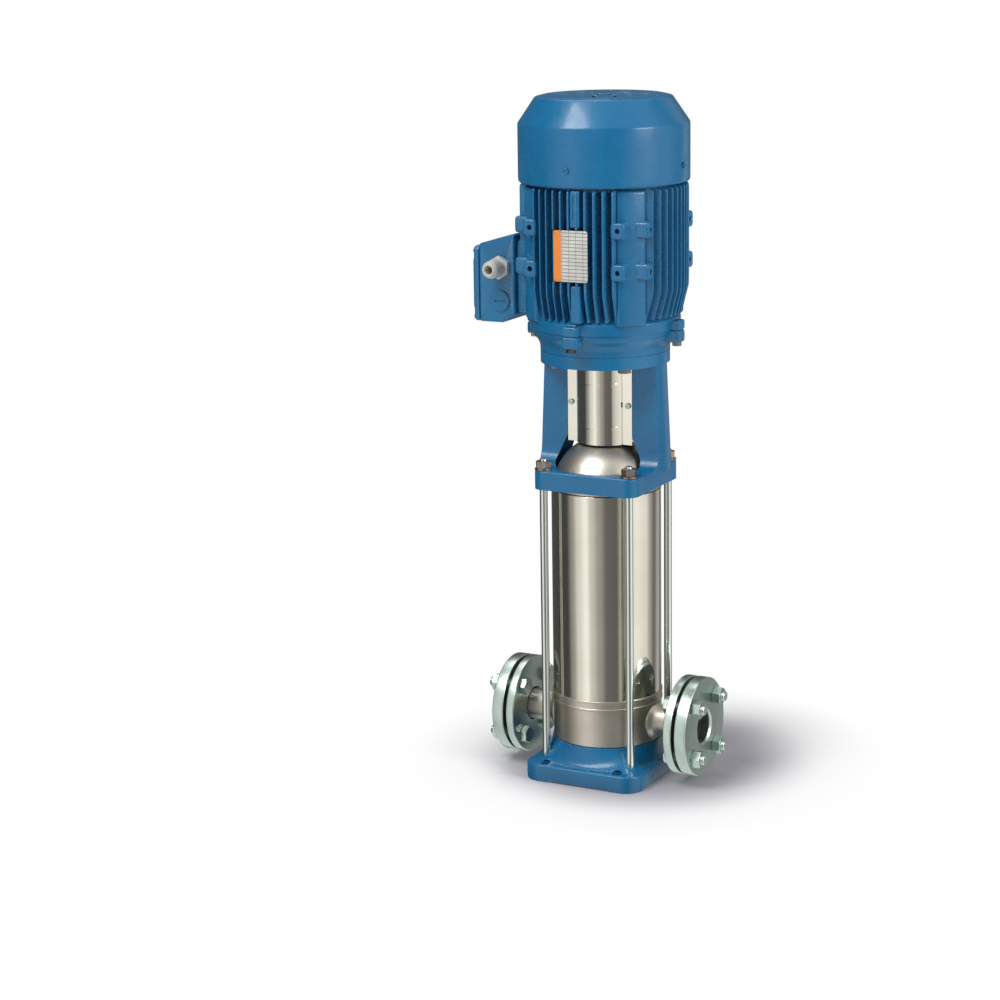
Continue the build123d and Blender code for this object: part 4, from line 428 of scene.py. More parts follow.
low, high = span("base")
plan = rounded([(low[0], low[1], BASE_CORNER), (high[0], low[1], BASE_CORNER),
                (high[0], high[1], BASE_CORNER), (low[0], high[1], BASE_CORNER)], closed=True, step=3)
edges = np.vstack([plan + (np.roll(plan, -1, 0) - plan) * part for part in np.linspace(0, 1, 60)])
heading = np.arctan2(edges[:, 1], edges[:, 0])
order = np.argsort(heading)
turns = np.arange(320) * 2 * math.pi / 320
flat = 0 * turns
outline = np.interp(turns, heading[order], np.linalg.norm(edges, axis=1)[order], period=2 * math.pi)
along_x, along_y = np.abs(outline * np.cos(turns)), np.abs(outline * np.sin(turns))
sole = np.where((along_x > high[0] - FOOT_LENGTH) & (along_y > high[1] - FOOT_LENGTH), 0.0, FOOT_RELIEF)
rows = [(flat + POCKET_RADIUS - 4, flat + POCKET_TOP), (flat + POCKET_RADIUS, flat + POCKET_TOP - 4)]
rows += [(POCKET_RADIUS + (outline - 2 - POCKET_RADIUS) * part, sole) for part in np.linspace(0, 1, 26)]
rows += [(outline - 0.6, sole + 0.6), (outline, sole + 2)]
for turn in np.radians(np.linspace(0, 90, 6)):
    inset, drop = RIM_ROUND * (1 - math.cos(turn)), RIM_ROUND * (1 - math.sin(turn))
    rows.append((outline - inset, flat + RIM_HEIGHT - drop))
rows.append((outline - RIM_FLAT * 0.8, flat + RIM_HEIGHT))
for part in np.linspace(0, 1, 30):
    sweep = outline - RIM_FLAT + (COLLAR_RADIUS + RIM_FLAT - outline) * part
    rows.append((sweep, flat + RIM_HEIGHT + COLLAR_FALL * part ** 2.6))
collar = high[2]
rows += [(flat + radius, flat + height) for radius, height in (
    (COLLAR_RADIUS, collar - 1.5), (COLLAR_RADIUS - 0.5, collar - 0.4),
    (COLLAR_RADIUS - 1.6, collar), (40, collar))]
skin = shell(np.stack([np.stack([out * np.cos(turns), out * np.sin(turns), up], -1) for out, up in rows]))
foundation = []
for sx, sy in CORNERS:
    skin = pierced(skin, (sx * HOLE_X, sy * HOLE_Y), HOLE_RADIUS, [0, 1])
    near, far = HOLE_RADIUS - 0.05, HOLE_RADIUS + HOLE_WALL
    wall = rounded([(near, FOOT_RELIEF, 0.3), (far, FOOT_RELIEF, 0.3), (far, RIM_HEIGHT + 0.25, 0.3),
                    (near, RIM_HEIGHT - 0.1, 0.5)], closed=True)
    foundation.append(shell(turned(wall, 40) + (sx * HOLE_X, sy * HOLE_Y, 0), ring=True))
dress("foot_casting", [skin] + foundation, "painted_casting", "base", crease=40)


# ---- pump casing: welded stainless drum with two in-line nozzles, on the base's collar ----
# A band with two rolled beads holds the jacket's foot, and an inner wall parts suction from delivery.
# Each nozzle is a tube flared into its weld, and ends in a flat lap that the loose flange pulls on.
CHAMBER_RADIUS, CHAMBER_WALL = 48.5, 2.5
DRUM_RADIUS, DRUM_WALL, BAND_STEP, BEAD_STEP, BAND_HEIGHT = 82.4, 3.0, 1.2, 1.75, 15.0
PIPE_RADIUS, PIPE_WALL, WELD_RADIUS, LAP_THICKNESS, GASKET_RADIUS = 24.15, 2.6, 29.5, 2.5, 43.0


def facing(points, way):
    """Turns a grid made about +Z so that it points along +X, -X, +Y or -Y."""
    a, b, c = points[..., 0], points[..., 1], points[..., 2]
    return {"+x": np.stack([c, a, b], -1), "-x": np.stack([-c, -a, b], -1),
            "+y": np.stack([-a, c, b], -1), "-y": np.stack([a, -c, b], -1)}[way]


lap, top = span("pump_casing")[1][[0, 2]]
counter_low, counter_high = span("delivery_counter_flange")
PORT_HEIGHT = (counter_low[2] + counter_high[2]) / 2
foot = rounded([(20, collar, 0), (DRUM_RADIUS - 1.5, collar, 0.8), (DRUM_RADIUS, collar + 1.5, 1.5)])
side = np.stack([np.full(32, DRUM_RADIUS), np.linspace(collar + 2.5, top - BAND_HEIGHT - 1.5, 32)], 1)
# the band's section: each corner's distance out from the drum, up from its top, and radius
band = rounded([(DRUM_RADIUS + out, top + up, ease) for out, up, ease in (
    (0, -BAND_HEIGHT - 0.8, 0.3), (-0.6, -BAND_HEIGHT - 0.3, 0.2), (BEAD_STEP, -BAND_HEIGHT, 0.8),
    (BEAD_STEP, 2.6 - BAND_HEIGHT, 1), (BAND_STEP, 3.2 - BAND_HEIGHT, 0.6), (BAND_STEP, -3.2, 0.6),
    (BEAD_STEP, -2.6, 1), (BEAD_STEP, 0, 1), (0.1, 0, 0.3), (0.1, -9.5, 0), (-DRUM_WALL, -9.5, 0))], step=20)
inner = np.stack([np.full(32, DRUM_RADIUS - DRUM_WALL),
                  np.linspace(top - BAND_HEIGHT - 1.5, collar + 4, 32)], 1)
bore = PIPE_RADIUS - PIPE_WALL
drum = shell(turned(np.vstack([foot, side, band, inner, [(20, collar + 4)]]), 288))
drum = pierced(drum, (0, PORT_HEIGHT), bore, [1, 2])
rise = np.linspace(collar + 3, top - BAND_HEIGHT + 1, 36)
chamber = np.vstack([np.c_[0 * rise + CHAMBER_RADIUS, rise],
                     np.c_[0 * rise + CHAMBER_RADIUS - CHAMBER_WALL, rise[::-1]]])
chamber = pierced(shell(turned(chamber, 160), ring=True), (0, PORT_HEIGHT), bore, [1, 2], side=-1)
tube = rounded([(bore, 74, 0), (WELD_RADIUS + 0.8, 74, 0), (WELD_RADIUS, 79.5, 1.5), (PIPE_RADIUS + 1.2, 86, 5),
                (PIPE_RADIUS, 92, 6), (PIPE_RADIUS, lap - LAP_THICKNESS, 1.5),
                (GASKET_RADIUS, lap - LAP_THICKNESS, 0.5), (GASKET_RADIUS, lap, 0.5), (bore, lap, 0.6)],
               closed=True, step=12)
nozzles = [shell(facing(turned(tube, 96), way) + (0, 0, PORT_HEIGHT), ring=True) for way in ("+x", "-x")]
dress("drum_casing", [drum, chamber] + nozzles, "satin_stainless", "pump_casing", crease=30)


# ---- pipe flanges: turned steel discs, zinc plated, a loose one behind each lap and one for the pipe ----
# Rims and bores are chamfered by the same tool; the bolts and nuts cover the drilled holes.
FLANGE_EDGE, LOOSE_BORE, LOOSE_CHAMFER, COUNTER_BORE, COUNTER_CHAMFER = 1.2, 26.0, 0.8, 24.75, 3.0
FLANGE_RADIUS = (counter_high[1] - counter_low[1]) / 2
for node, opening, chamfer in (("loose_flange", LOOSE_BORE, LOOSE_CHAMFER),
                               ("counter_flange", COUNTER_BORE, COUNTER_CHAMFER)):
    near, far = (corner[0] for corner in span("delivery_" + node))
    rim = FLANGE_RADIUS - FLANGE_EDGE
    disc = rounded([(opening, near, 0.4), (rim, near, 0.5), (FLANGE_RADIUS, near + FLANGE_EDGE, 0.5),
                    (FLANGE_RADIUS, far - FLANGE_EDGE, 0.5), (rim, far, 0.5), (opening + chamfer, far, 0.5),
                    (opening, far - chamfer, 0.5)], closed=True, step=20)
    for way, which in (("+x", "delivery_"), ("-x", "suction_")):
        grid = facing(turned(disc, 192), way) + (0, 0, PORT_HEIGHT)
        dress(which + node + "_disc", [shell(grid, ring=True)], "zinc_steel", which + node, crease=30)


# ---- outer jacket: polished stainless tube, rolled and seam welded, between casing and cover ----
# Its wall is 2 mm, with the ends eased, clamped on flat seals.
low, high = span("outer_jacket")
JACKET_RADIUS, JACKET_WALL = 82.4, 2.0
jacket_wall = rounded([(JACKET_RADIUS - JACKET_WALL, low[2], 0.6), (JACKET_RADIUS, low[2], 0.6),
                       (JACKET_RADIUS, high[2], 0.6), (JACKET_RADIUS - JACKET_WALL, high[2], 0.6)], closed=True)
dress("jacket_tube", [shell(turned(jacket_wall, 192), ring=True)], "polished_stainless", "outer_jacket")


# ---- upper cover: stainless dome, deep drawn, that closes the jacket and carries the shaft seal ----
# A flat rim sits on the jacket, a straight side runs into the lantern, and the crown ends in a neck.
low, high = span("upper_cover")
DOME_RADIUS, DOME_WALL, CROWN_RADIUS, NECK_RADIUS, SEAL_HOLE = 75.0, 3.0, 36.0, 30.0, 12.0
RIM_TOP, SHOULDER, CROWN = low[2] + 3, low[2] + 24.5, high[2] - 7
share = np.linspace(0, 1, 25)
bow = 5.0 * np.sin(math.pi * share)
dome = np.stack([DOME_RADIUS + (CROWN_RADIUS - DOME_RADIUS) * share + 0.74 * bow,
                 SHOULDER + (CROWN - SHOULDER) * share + 0.67 * bow], 1)
skirt = rounded([(JACKET_RADIUS - 10, low[2], 0), (JACKET_RADIUS, low[2], 0.5), (JACKET_RADIUS, RIM_TOP, 0.5),
                 (DOME_RADIUS, RIM_TOP, 1), (DOME_RADIUS, SHOULDER, 0)])
neck = rounded([(NECK_RADIUS + 3, CROWN, 0), (NECK_RADIUS, CROWN, 1.5), (NECK_RADIUS, high[2], 1.2),
                (SEAL_HOLE, high[2], 0.6), (SEAL_HOLE, CROWN - DOME_WALL, 0)])
outside = np.vstack([skirt[:-1], dome, neck])
inside = np.stack([np.maximum(dome[::-1, 0] - DOME_WALL, SEAL_HOLE + 4), dome[::-1, 1] - DOME_WALL], 1)
dome = shell(turned(np.vstack([outside, inside]), 160), ring=True)
dress("drawn_dome", [dome], "satin_stainless", "upper_cover")


# ---- tie rods, nuts and washers: zinc-plated steel rods screwed into the base's corner bosses ----
# Each is rolled with an M12 thread at both ends, and a plain nut on a washer pulls the pump together.
ROD_AT, ROD_RADIUS, ROD_PITCH = 70.0, 6.0, 1.75
THREAD_FOOT, THREAD_END = 12.0, 24.0
NUT_ACROSS, NUT_HEIGHT, WASHER_RADIUS, WASHER_THICKNESS = 20.5, 10.8, 12.8, 2.5


def threaded(radius, low, high, pitch, columns=28, chamfer=1.2):
    """A screw thread: the radius falls and rises once per pitch and once per turn, as a helix does."""
    height = np.arange(low, high, pitch / 4)
    height = np.append(height, high)[:, None]
    turns = np.arange(columns)[None, :] * 2 * math.pi / columns
    wave = np.abs(((height / pitch - turns / (2 * math.pi)) % 1) * 2 - 1)
    depth = 0.61 * pitch * wave
    reach = np.minimum(radius - depth, radius - chamfer + (high - height))
    return np.stack([reach * np.cos(turns), reach * np.sin(turns), height + 0 * turns], -1)


def hexed(across, low, high, columns=72):
    """A hexagon whose corners are turned off at both ends: the smaller of the hexagon's radius and a
    30 degree cone's."""
    ease = across * 0.06
    along = np.array([0, 0.25, 0.5, 0.75, 1.0]) * ease
    height = np.concatenate([low + along, high - along[::-1]])[:, None]
    turns = np.arange(columns)[None, :] * 2 * math.pi / columns
    flat = across / 2 / np.cos((turns + math.pi / 6) % (math.pi / 3) - math.pi / 6)
    cone = across * 0.475 + np.minimum(height - low, high - height) * 1.9
    reach = np.minimum(flat, cone)
    return np.stack([reach * np.cos(turns), reach * np.sin(turns), height + 0 * turns], -1)


def moved(points, x=0.0, y=0.0, z=0.0):
    """The grid shifted as a whole."""
    return points + np.array([x, y, z])


def spun(points, degrees):
    """The grid turned about the shaft line."""
    turn = math.radians(degrees)
    cos, sin = math.cos(turn), math.sin(turn)
    return points @ np.array([[cos, sin, 0], [-sin, cos, 0], [0, 0, 1]])


def set_at(grid, way, x=0.0, y=0.0, z=0.0, ring=False):
    """A closed skin of a grid made about +Z, pointed along a way and shifted."""
    return shell(moved(facing(grid, way), x, y, z), ring)


low, high = span("tie_rods")
nut_low = span("tie_rod_nuts")[0][2]
shank = rounded([(ROD_RADIUS, low[2] + THREAD_FOOT, 0), (ROD_RADIUS, high[2] - THREAD_END, 0)])
seat = nut_low + WASHER_THICKNESS
hole = ROD_RADIUS + 0.75
washer = turned(rounded([(hole, nut_low, 0.3), (WASHER_RADIUS, nut_low, 0.5), (WASHER_RADIUS, seat, 0.5),
                         (hole, seat, 0.3)], closed=True), 48)
rods, nuts = [], []
for sx, sy in CORNERS:
    x, y = sx * ROD_AT, sy * ROD_AT
    for grid in (turned(shank, 48), threaded(ROD_RADIUS, high[2] - THREAD_END, high[2], ROD_PITCH)):
        rods.append(shell(moved(grid, x, y)))
    nuts.append(shell(moved(washer, x, y), ring=True))
    nuts.append(shell(moved(spun(hexed(NUT_ACROSS, seat, seat + NUT_HEIGHT), 17 * sx + 8 * sy), x, y)))
bright_rods = dress("long_rods", rods, "zinc_steel", "tie_rods", crease=25)
bright_rods.data.materials[0] = metal("drawn_zinc", (0.60, 0.65, 0.62), (0.70, 0.75, 0.72), (0.13, 0.20),
                                      30, 0.001, (6, 6, 0.6), patch=5)
dress("rod_nuts", nuts, "dark_steel", "tie_rod_nuts", crease=25)


# ---- flange bolts and nuts: zinc-plated M16, four to each pair of flanges ----
# Heads sit on the loose flange behind the lap, nuts on the counter flange with some thread to spare.
BOLT_CIRCLE, BOLT_RADIUS, BOLT_ACROSS = 110.0, 8.0, 24.0
HEAD_HEIGHT, FLANGE_NUT_HEIGHT, BOLT_PITCH = 10.0, 13.0, 2.0
bolt_end = span("flange_bolts")[1][0]
flange_in, flange_out = span("delivery_loose_flange")[0][0], counter_high[0]
bolts, nuts = [], []
for way in ("+x", "-x"):
    for k in range(4):
        turn = math.radians(45 + 90 * k)
        y, z = BOLT_CIRCLE / 2 * math.cos(turn), PORT_HEIGHT + BOLT_CIRCLE / 2 * math.sin(turn)
        head = spun(hexed(BOLT_ACROSS, flange_in - HEAD_HEIGHT, flange_in), 23 * k + 11)
        stem = turned(np.array([(BOLT_RADIUS, flange_in - 1), (BOLT_RADIUS, flange_out - 2)]), 32)
        thread = threaded(BOLT_RADIUS, flange_out - 2, bolt_end, BOLT_PITCH)
        nut = spun(hexed(BOLT_ACROSS, flange_out, flange_out + FLANGE_NUT_HEIGHT), 37 * k + 5)
        bolts += [set_at(grid, way, 0, y, z) for grid in (head, stem, thread)]
        nuts.append(set_at(nut, way, 0, y, z))
dress("long_bolts", bolts, "zinc_steel", "flange_bolts", crease=25)
dress("hexagon_nuts", nuts, "zinc_steel", "flange_nuts", crease=25)


# ---- coupling guards: two stainless sheets, folded round the coupling and screwed to the legs ----
# Two beads are rolled across each sheet to stiffen it.
GUARD_RADIUS, GUARD_STRIP, GUARD_REACH, GUARD_SHEET = 43.0, 20.5, 52.5, 1.2
BEAD_HEIGHT, BEAD_WIDTH, BEAD_EDGE = 0.7, 1.2, 26.0


def along(path, section):
    """Carries a section of (outset, height) points along a path in plan, square to it: rows follow the
    path, columns go round the section."""
    step = np.gradient(path, axis=0)
    step /= np.linalg.norm(step, axis=1)[:, None]
    out = np.stack([step[:, 1], -step[:, 0]], 1)
    flat = path[:, None] + out[:, None] * section[None, :, :1]
    return np.concatenate([flat, np.broadcast_to(section[None, :, 1:], (*flat.shape[:2], 1))], -1)


low, high = span("coupling_guard_front")
edge = math.sqrt(GUARD_RADIUS ** 2 - GUARD_STRIP ** 2)
swing = math.asin(GUARD_STRIP / GUARD_RADIUS)
bow = np.linspace(math.pi + swing, 2 * math.pi - swing, 49)
path = np.vstack([[(-GUARD_REACH, -GUARD_STRIP), (-edge - 2, -GUARD_STRIP)],
                  np.stack([GUARD_RADIUS * np.cos(bow), GUARD_RADIUS * np.sin(bow)], 1),
                  [(edge + 2, -GUARD_STRIP), (GUARD_REACH, -GUARD_STRIP)]])
height = np.linspace(low[2], high[2], 95)
section = np.vstack([np.stack([0 * height, height], 1), np.stack([0 * height - GUARD_SHEET, height], 1)[::-1]])
sheet = along(path, section)
ridge = sum(BEAD_HEIGHT * np.exp(-((section[:, 1] - at) / BEAD_WIDTH) ** 2)
            for at in (low[2] + BEAD_EDGE, high[2] - BEAD_EDGE))
runout = np.clip((edge - 2 - np.abs(path[:, 0])) / 5, 0, 1)
outward = sheet[..., :2] / np.linalg.norm(sheet[..., :2], axis=-1, keepdims=True)
sheet[..., :2] += outward * (runout[:, None] * ridge)[..., None]
dress("front_guard", [shell(sheet)], "polished_stainless", "coupling_guard_front", crease=50)
dress("rear_guard", [shell(spun(sheet, 180))], "polished_stainless", "coupling_guard_rear", crease=50)


# ---- drive end shield: iron casting between the lantern and the motor's frame ----
# A short rim sits on the lantern, a cone opens to the frame, and four lugs take the long screws.
SHIELD_FOOT, BAND_RADIUS, LUG_RADIUS, LUG_WIDTH, LUG_ROUND = 96.0, 112.0, 124.0, 24.0, 3.0
QUARTERS = (0, 90, 180, 270)


def lump(half_across, half_up, power=7.0, columns=48):
    """An oblong outline with soft corners: cosine and sine of a turn, each raised to 2 / power."""
    turns = (np.arange(columns) + 0.5) * 2 * math.pi / columns
    cos, sin = np.cos(turns), np.sin(turns)
    x, y = (np.sign(part) * np.abs(part) ** (2 / power) for part in (cos, sin))
    return np.stack([half_across * x, half_up * y], 1)


def boss(half_across, half_up, low, high, ease=2.0, hole=0.0, depth=0.0, power=7.0):
    """A soft-edged oblong block about +Z, with a round screw hole in its end when it has one."""
    outline = lump(half_across, half_up, power)
    slope = np.radians(np.linspace(0, 90, 5))
    rows = [np.c_[outline, np.full(len(outline), low)]]
    for turn in slope:
        inset = ease * (1 - math.cos(turn))
        shrink = np.array([1 - inset / half_across, 1 - inset / half_up])
        rows.append(np.c_[outline * shrink, np.full(len(outline), high - ease + ease * math.sin(turn))])
    rows.append(np.c_[outline * (shrink - 0.8 / half_across), np.full(len(outline), high)])
    if hole:
        turns = (np.arange(len(outline)) + 0.5) * 2 * math.pi / len(outline)
        ring = np.stack([np.cos(turns), np.sin(turns)], 1)
        for radius, level in ((hole + 0.8, high), (hole, high - 0.8), (hole, high - depth)):
            rows.append(np.c_[ring * radius, np.full(len(outline), level)])
    return np.stack(rows)


def lugs(low, top):
    """The four lugs of the long screws, between two heights."""
    lug = boss((top - low) / 2, LUG_WIDTH / 2, 90, LUG_RADIUS, LUG_ROUND)
    lug = np.stack([lug[..., 2], lug[..., 1], (top + low) / 2 + lug[..., 0]], -1)
    return [shell(spun(lug, quarter)) for quarter in QUARTERS]


face, top = span("lantern_bracket")[1][2], span("motor_frame")[0][2]
lug_low, lug_top = span("drive_end_shield")[0][2] + 19.5, top + 15
shield = rounded([(58, face - 3.5, 0), (65, face - 3.5, 0.5), (65, face, 0), (SHIELD_FOOT, face, 1.2),
                  (SHIELD_FOOT + 0.5, face + 9, 2.5), (SHIELD_FOOT + 4, face + 17, 8),
                  (SHIELD_FOOT + 12, face + 25, 10), (BAND_RADIUS - 0.8, top, 0.8), (84, top, 0),
                  (84, top + 6, 0), (79, top + 6, 0), (79, top - 4, 3), (52, top - 9, 0), (48, top + 3, 0),
                  (40, top + 3, 0), (40, top - 17, 0), (24, top - 17, 0), (24, face + 2, 0)], closed=True)
bell = [shell(turned(shield, 160), ring=True)]
dress("bell_shield", bell + lugs(lug_low, top), "painted_casting", "drive_end_shield")


# ---- motor frame: iron casting with a smooth barrel, parallel fins, corner columns and foot pads ----
# The fins are drawn with the pattern: thicker at the root, round at the tip, tapered at the foot.
FRAME_RADIUS, FRAME_BORE, REAR_RADIUS = 97.0, 84.0, 110.0
FIN_RADIUS, FIN_PITCH, FINS_PER_SIDE, FIN_ROOT_HALF, FIN_TIP_HALF = 124.0, 12.5, 5, 2.1, 1.35
FIN_LIFT, FIN_TOP_GAP, FIN_TAPER, FIN_TAPER_HEIGHT = 22.0, 5.0, 10.0, 40.0
COLUMN_RADIUS, COLUMN_HALF = 118.5, 23.0
PAD_FACE, PAD_CENTRE, PAD_HALF, PAD_HALF_HEIGHT, PAD_HOLE = 107.0, 70.0, 11.0, 12.0, 3.6
PAD_HEIGHTS = (top + 94, top + 154)
RAIL_X, RAIL_HALF, RAIL_FACE = 10.0, 7.5, 121.5
BEAD_LIFT, BEAD_LENGTH, BEAD_ROUND = 32, 19, 0.9
rear = span("motor_frame")[1][2]
fin_low, fin_top = top + FIN_LIFT, rear - FIN_TOP_GAP
box_low, box_high = span("terminal_box")
plate_low, plate_high = span("nameplate")
barrel = rounded([(FRAME_BORE, top, 0.5), (BAND_RADIUS, top, 1), (BAND_RADIUS, fin_low - 6, 3),
                  (FRAME_RADIUS, fin_low + 6, 3), (FRAME_RADIUS, rear - 10, 2), (REAR_RADIUS, rear - 8, 1),
                  (REAR_RADIUS, rear, 0.8), (FRAME_BORE, rear, 0.5)], closed=True)
bunched = 1 - np.cos(np.radians(np.linspace(0, 90, 7)))  # from 0 to 1, closest together at 0


def softened(height, low, high, ease):
    """How far an edge draws back near the two ends of its height, as a quarter circle."""
    near = np.clip(1 - np.minimum(height - low, high - height) / ease, 0, 1)
    return ease * (1 - np.sqrt(1 - near ** 2))


def fin(at, quarter):
    """One fin: straight sides from a thick root to a round tip whose reach follows the frame's round
    outline, less at the foot, behind the nameplate and under the terminal box."""
    low = box_high[2] + 1.5 if quarter == 180 and abs(at) < box_high[1] + 2 else fin_low - 1
    gate = [plate_low[2] - 1.2, plate_low[2] - 0.8, plate_high[2] + 0.8, plate_high[2] + 1.2]
    foot = np.linspace(low, low + FIN_TAPER_HEIGHT, 12)
    height = np.unique(np.concatenate([foot, gate, fin_top - 5 * bunched]))
    height = height[(height >= low) & (height <= fin_top)]
    radius = FIN_RADIUS - FIN_TAPER + FIN_TAPER * np.clip((height - fin_low) / FIN_TAPER_HEIGHT, 0, 1)
    reach = np.sqrt(radius ** 2 - at ** 2) - softened(height, low - 9, fin_top, 5)
    behind = (quarter == 270) & (abs(at - RAIL_X) < 36) & (height > gate[0]) & (height < gate[3])
    reach = np.where(behind, np.minimum(reach, -plate_high[1] - 0.3), reach)
    root = math.sqrt(FRAME_RADIUS ** 2 - at ** 2) - 3
    tip = np.radians(np.linspace(-90, 90, 7))
    side = np.concatenate([[-FIN_ROOT_HALF], np.sin(tip) * FIN_TIP_HALF, [FIN_ROOT_HALF]])
    out = np.concatenate([np.full((len(height), 1), root), reach[:, None] - FIN_TIP_HALF * (1 - np.cos(tip)),
                          np.full((len(height), 1), root)], 1)
    grid = np.stack([out, at + side + 0 * out, height[:, None] + 0 * out], -1)
    return shell(spun(grid, quarter))


def column():
    """A corner column: a broad rib whose face is round about the shaft, its edges eased."""
    height = np.unique(np.concatenate([fin_low - 8 + 6 * bunched, fin_top - 6 * bunched]))
    eased = 0.22 * (1 - np.cos(np.radians(np.linspace(0, 90, 6))))
    side = np.concatenate([[-1], eased - 1, np.linspace(-0.6, 0.6, 7), (1 - eased)[::-1], [1]]) * COLUMN_HALF
    corner = np.clip((np.abs(side) / COLUMN_HALF - 0.78) / 0.22, 0, 1)
    reach = np.sqrt(COLUMN_RADIUS ** 2 - side ** 2) - 5 * (1 - np.sqrt(1 - corner ** 2))
    out = reach[None] - softened(height, fin_low - 8, fin_top, 6)[:, None]
    out[:, [0, -1]] = FRAME_RADIUS - 6
    return np.stack([out, side + 0 * out, height[:, None] + 0 * out], -1)


places = range(-FINS_PER_SIDE, FINS_PER_SIDE + 1)
fins = [fin(k * FIN_PITCH, quarter) for quarter in QUARTERS for k in places]
columns = [shell(spun(column(), 45 + quarter)) for quarter in QUARTERS]
pad = boss(PAD_HALF, PAD_HALF_HEIGHT, 78, PAD_FACE, 3.0, PAD_HOLE, 12, power=5)
pads = [set_at(moved(pad, side * PAD_CENTRE), way, z=height)
        for way in ("+x", "+y", "-x", "-y") for side in (-1, 1) for height in PAD_HEIGHTS]
rails = []
for rail_low, rail_high in ((fin_low - 2, plate_low[2] - 6), (plate_high[2] + 4, fin_top)):
    rail = moved(boss(RAIL_HALF, (rail_high - rail_low) / 2, 90, RAIL_FACE, 1.8, power=12), RAIL_X)
    rails.append(set_at(rail, "-y", z=(rail_high + rail_low) / 2))
saddle = set_at(boss(48, 55, 88, -box_high[0] + 0.5, 3, power=14), "-x", z=(box_low[2] + box_high[2]) / 2 + 2)
slot = lump(2.6, BEAD_LENGTH, 3)
bead = np.stack([np.c_[slot * (1 + 0.5 * math.cos(turn) / 3),
                       np.full(len(slot), RAIL_FACE + BEAD_ROUND * math.sin(turn))]
                 for turn in np.radians(np.arange(0, 360, 45))])
bead = set_at(moved(bead, RAIL_X), "-y", z=plate_high[2] + BEAD_LIFT, ring=True)
barrel = [shell(turned(barrel, 160), ring=True)]
casting = barrel + columns + pads + lugs(top, lug_top) + rails + [saddle, bead]
dress("motor_barrel", casting, "painted_casting", "motor_frame")
dress("cooling_fins", fins, "painted_casting", "motor_frame", crease=50)


# ---- fan cover: pressed steel sheet over the fan, with air slots in its crown ----
# The skirt's foot is rolled in, the shoulder and the lip of the crown are pressed round.
low, high = span("fan_cover")
COVER_RADIUS, COVER_SHEET, LIP_RADIUS = 126.0, 1.6, 99.5
SHOULDER, LIP = low[2] + 85, high[2] - 4.5
SLOTS, SLOT_HALF, SLOT_ROWS = 14, 3.0, ((26, 46), (54, 78))
SLOT_COLUMNS, GAP_COLUMNS = 4, 12
cover = rounded([(COVER_RADIUS - 2.2, low[2], 0), (COVER_RADIUS - 0.4, low[2] + 2.2, 2),
                 (COVER_RADIUS, low[2] + 6, 5), (COVER_RADIUS, low[2] + 60, 0),
                 (COVER_RADIUS, SHOULDER, 7), (LIP_RADIUS + 1, LIP - 0.5, 5),
                 (88, LIP + 2.4, 8), (78, LIP + 3.0, 0)], step=9)
crown = [(radius, high[2] - 1.5 * (radius / 78) ** 2) for radius in (78, 66, 54, 50, 46, 40, 33, 26, 18, 9, 3)]
profile = np.vstack([cover[:-1], crown])
radius = np.maximum(profile[:, 0, None, None], 4)
sector = np.arange(SLOTS)[None, :, None] * 2 * math.pi / SLOTS
slot_edge = np.arcsin(np.minimum(SLOT_HALF / radius, 0.2))
in_slot = slot_edge * np.linspace(-1, 1, SLOT_COLUMNS + 1)[None, None, :-1]
gap = slot_edge + (2 * math.pi / SLOTS - 2 * slot_edge) * (np.arange(GAP_COLUMNS) / GAP_COLUMNS)[None, None, :]
turns = (sector + np.concatenate([in_slot, gap], 2)).reshape(len(profile), -1)
reach, rise = profile[:, :1], profile[:, 1:]
skin = np.stack([reach * np.cos(turns), reach * np.sin(turns), rise + 0 * turns], -1)
columns = skin.shape[1]
i, j = np.meshgrid(np.arange(len(profile) - 1), np.arange(columns), indexing="ij")
middle = (profile[i, 0] + profile[i + 1, 0]) / 2
in_row = np.any([(middle > a) & (middle < b) for a, b in SLOT_ROWS], axis=0)
open_air = (j % (SLOT_COLUMNS + GAP_COLUMNS) < SLOT_COLUMNS) & in_row
here, above, beside = i * columns, (i + 1) * columns, (j + 1) % columns
cells = np.stack([here + j, here + beside, above + beside, above + j], -1)[~open_air]
pole = skin.shape[0] * columns
hub = np.arange(columns) + (len(profile) - 1) * columns
fan_faces = np.stack([hub, np.roll(hub, -1), np.full(columns, pole)], 1)
spots = np.vstack([skin.reshape(-1, 3), (0, 0, high[2])])
faces = cells.tolist() + fan_faces.tolist()
cowl = dress("air_cover", [(spots, faces)], "painted_sheet", "fan_cover", crease=60)
wall = cowl.modifiers.new("wall", "SOLIDIFY")
wall.thickness = COVER_SHEET * MM
wall.offset = -1


# ---- small screws: cheese-head machine screws, M5, those of the fan cover painted with it ----
# Each has a driver's slot. Four hold the fan cover, four the lid of the terminal box and four the guards.
SCREW_HEAD, SCREW_RADIUS, HEAD_THICKNESS, SCREW_LENGTH, SLOT_WIDTH, SLOT_DEPTH = 4.4, 2.5, 3.0, 9.0, 1.1, 1.3


def slotted():
    """A screw about +Z with its seat at 0: its head's crown sinks over a narrow band through the middle,
    and the rings across it are the head's radius at each step."""
    profile = rounded([(SCREW_RADIUS, -SCREW_LENGTH, 0), (SCREW_RADIUS, 0, 0), (SCREW_HEAD, 0, 0.3),
                       (SCREW_HEAD, HEAD_THICKNESS, 1.0), (0.4, HEAD_THICKNESS, 0)])
    rings = np.vstack([profile[:-1], [(radius, HEAD_THICKNESS) for radius in (2.8, 2.2, 1.6, 1.0, 0.5)]])
    grid = turned(rings, 48)
    in_slot = (np.abs(grid[..., 1]) < SLOT_WIDTH / 2) & (grid[..., 2] > HEAD_THICKNESS - 1.2)
    grid[..., 2] -= in_slot * SLOT_DEPTH
    return grid


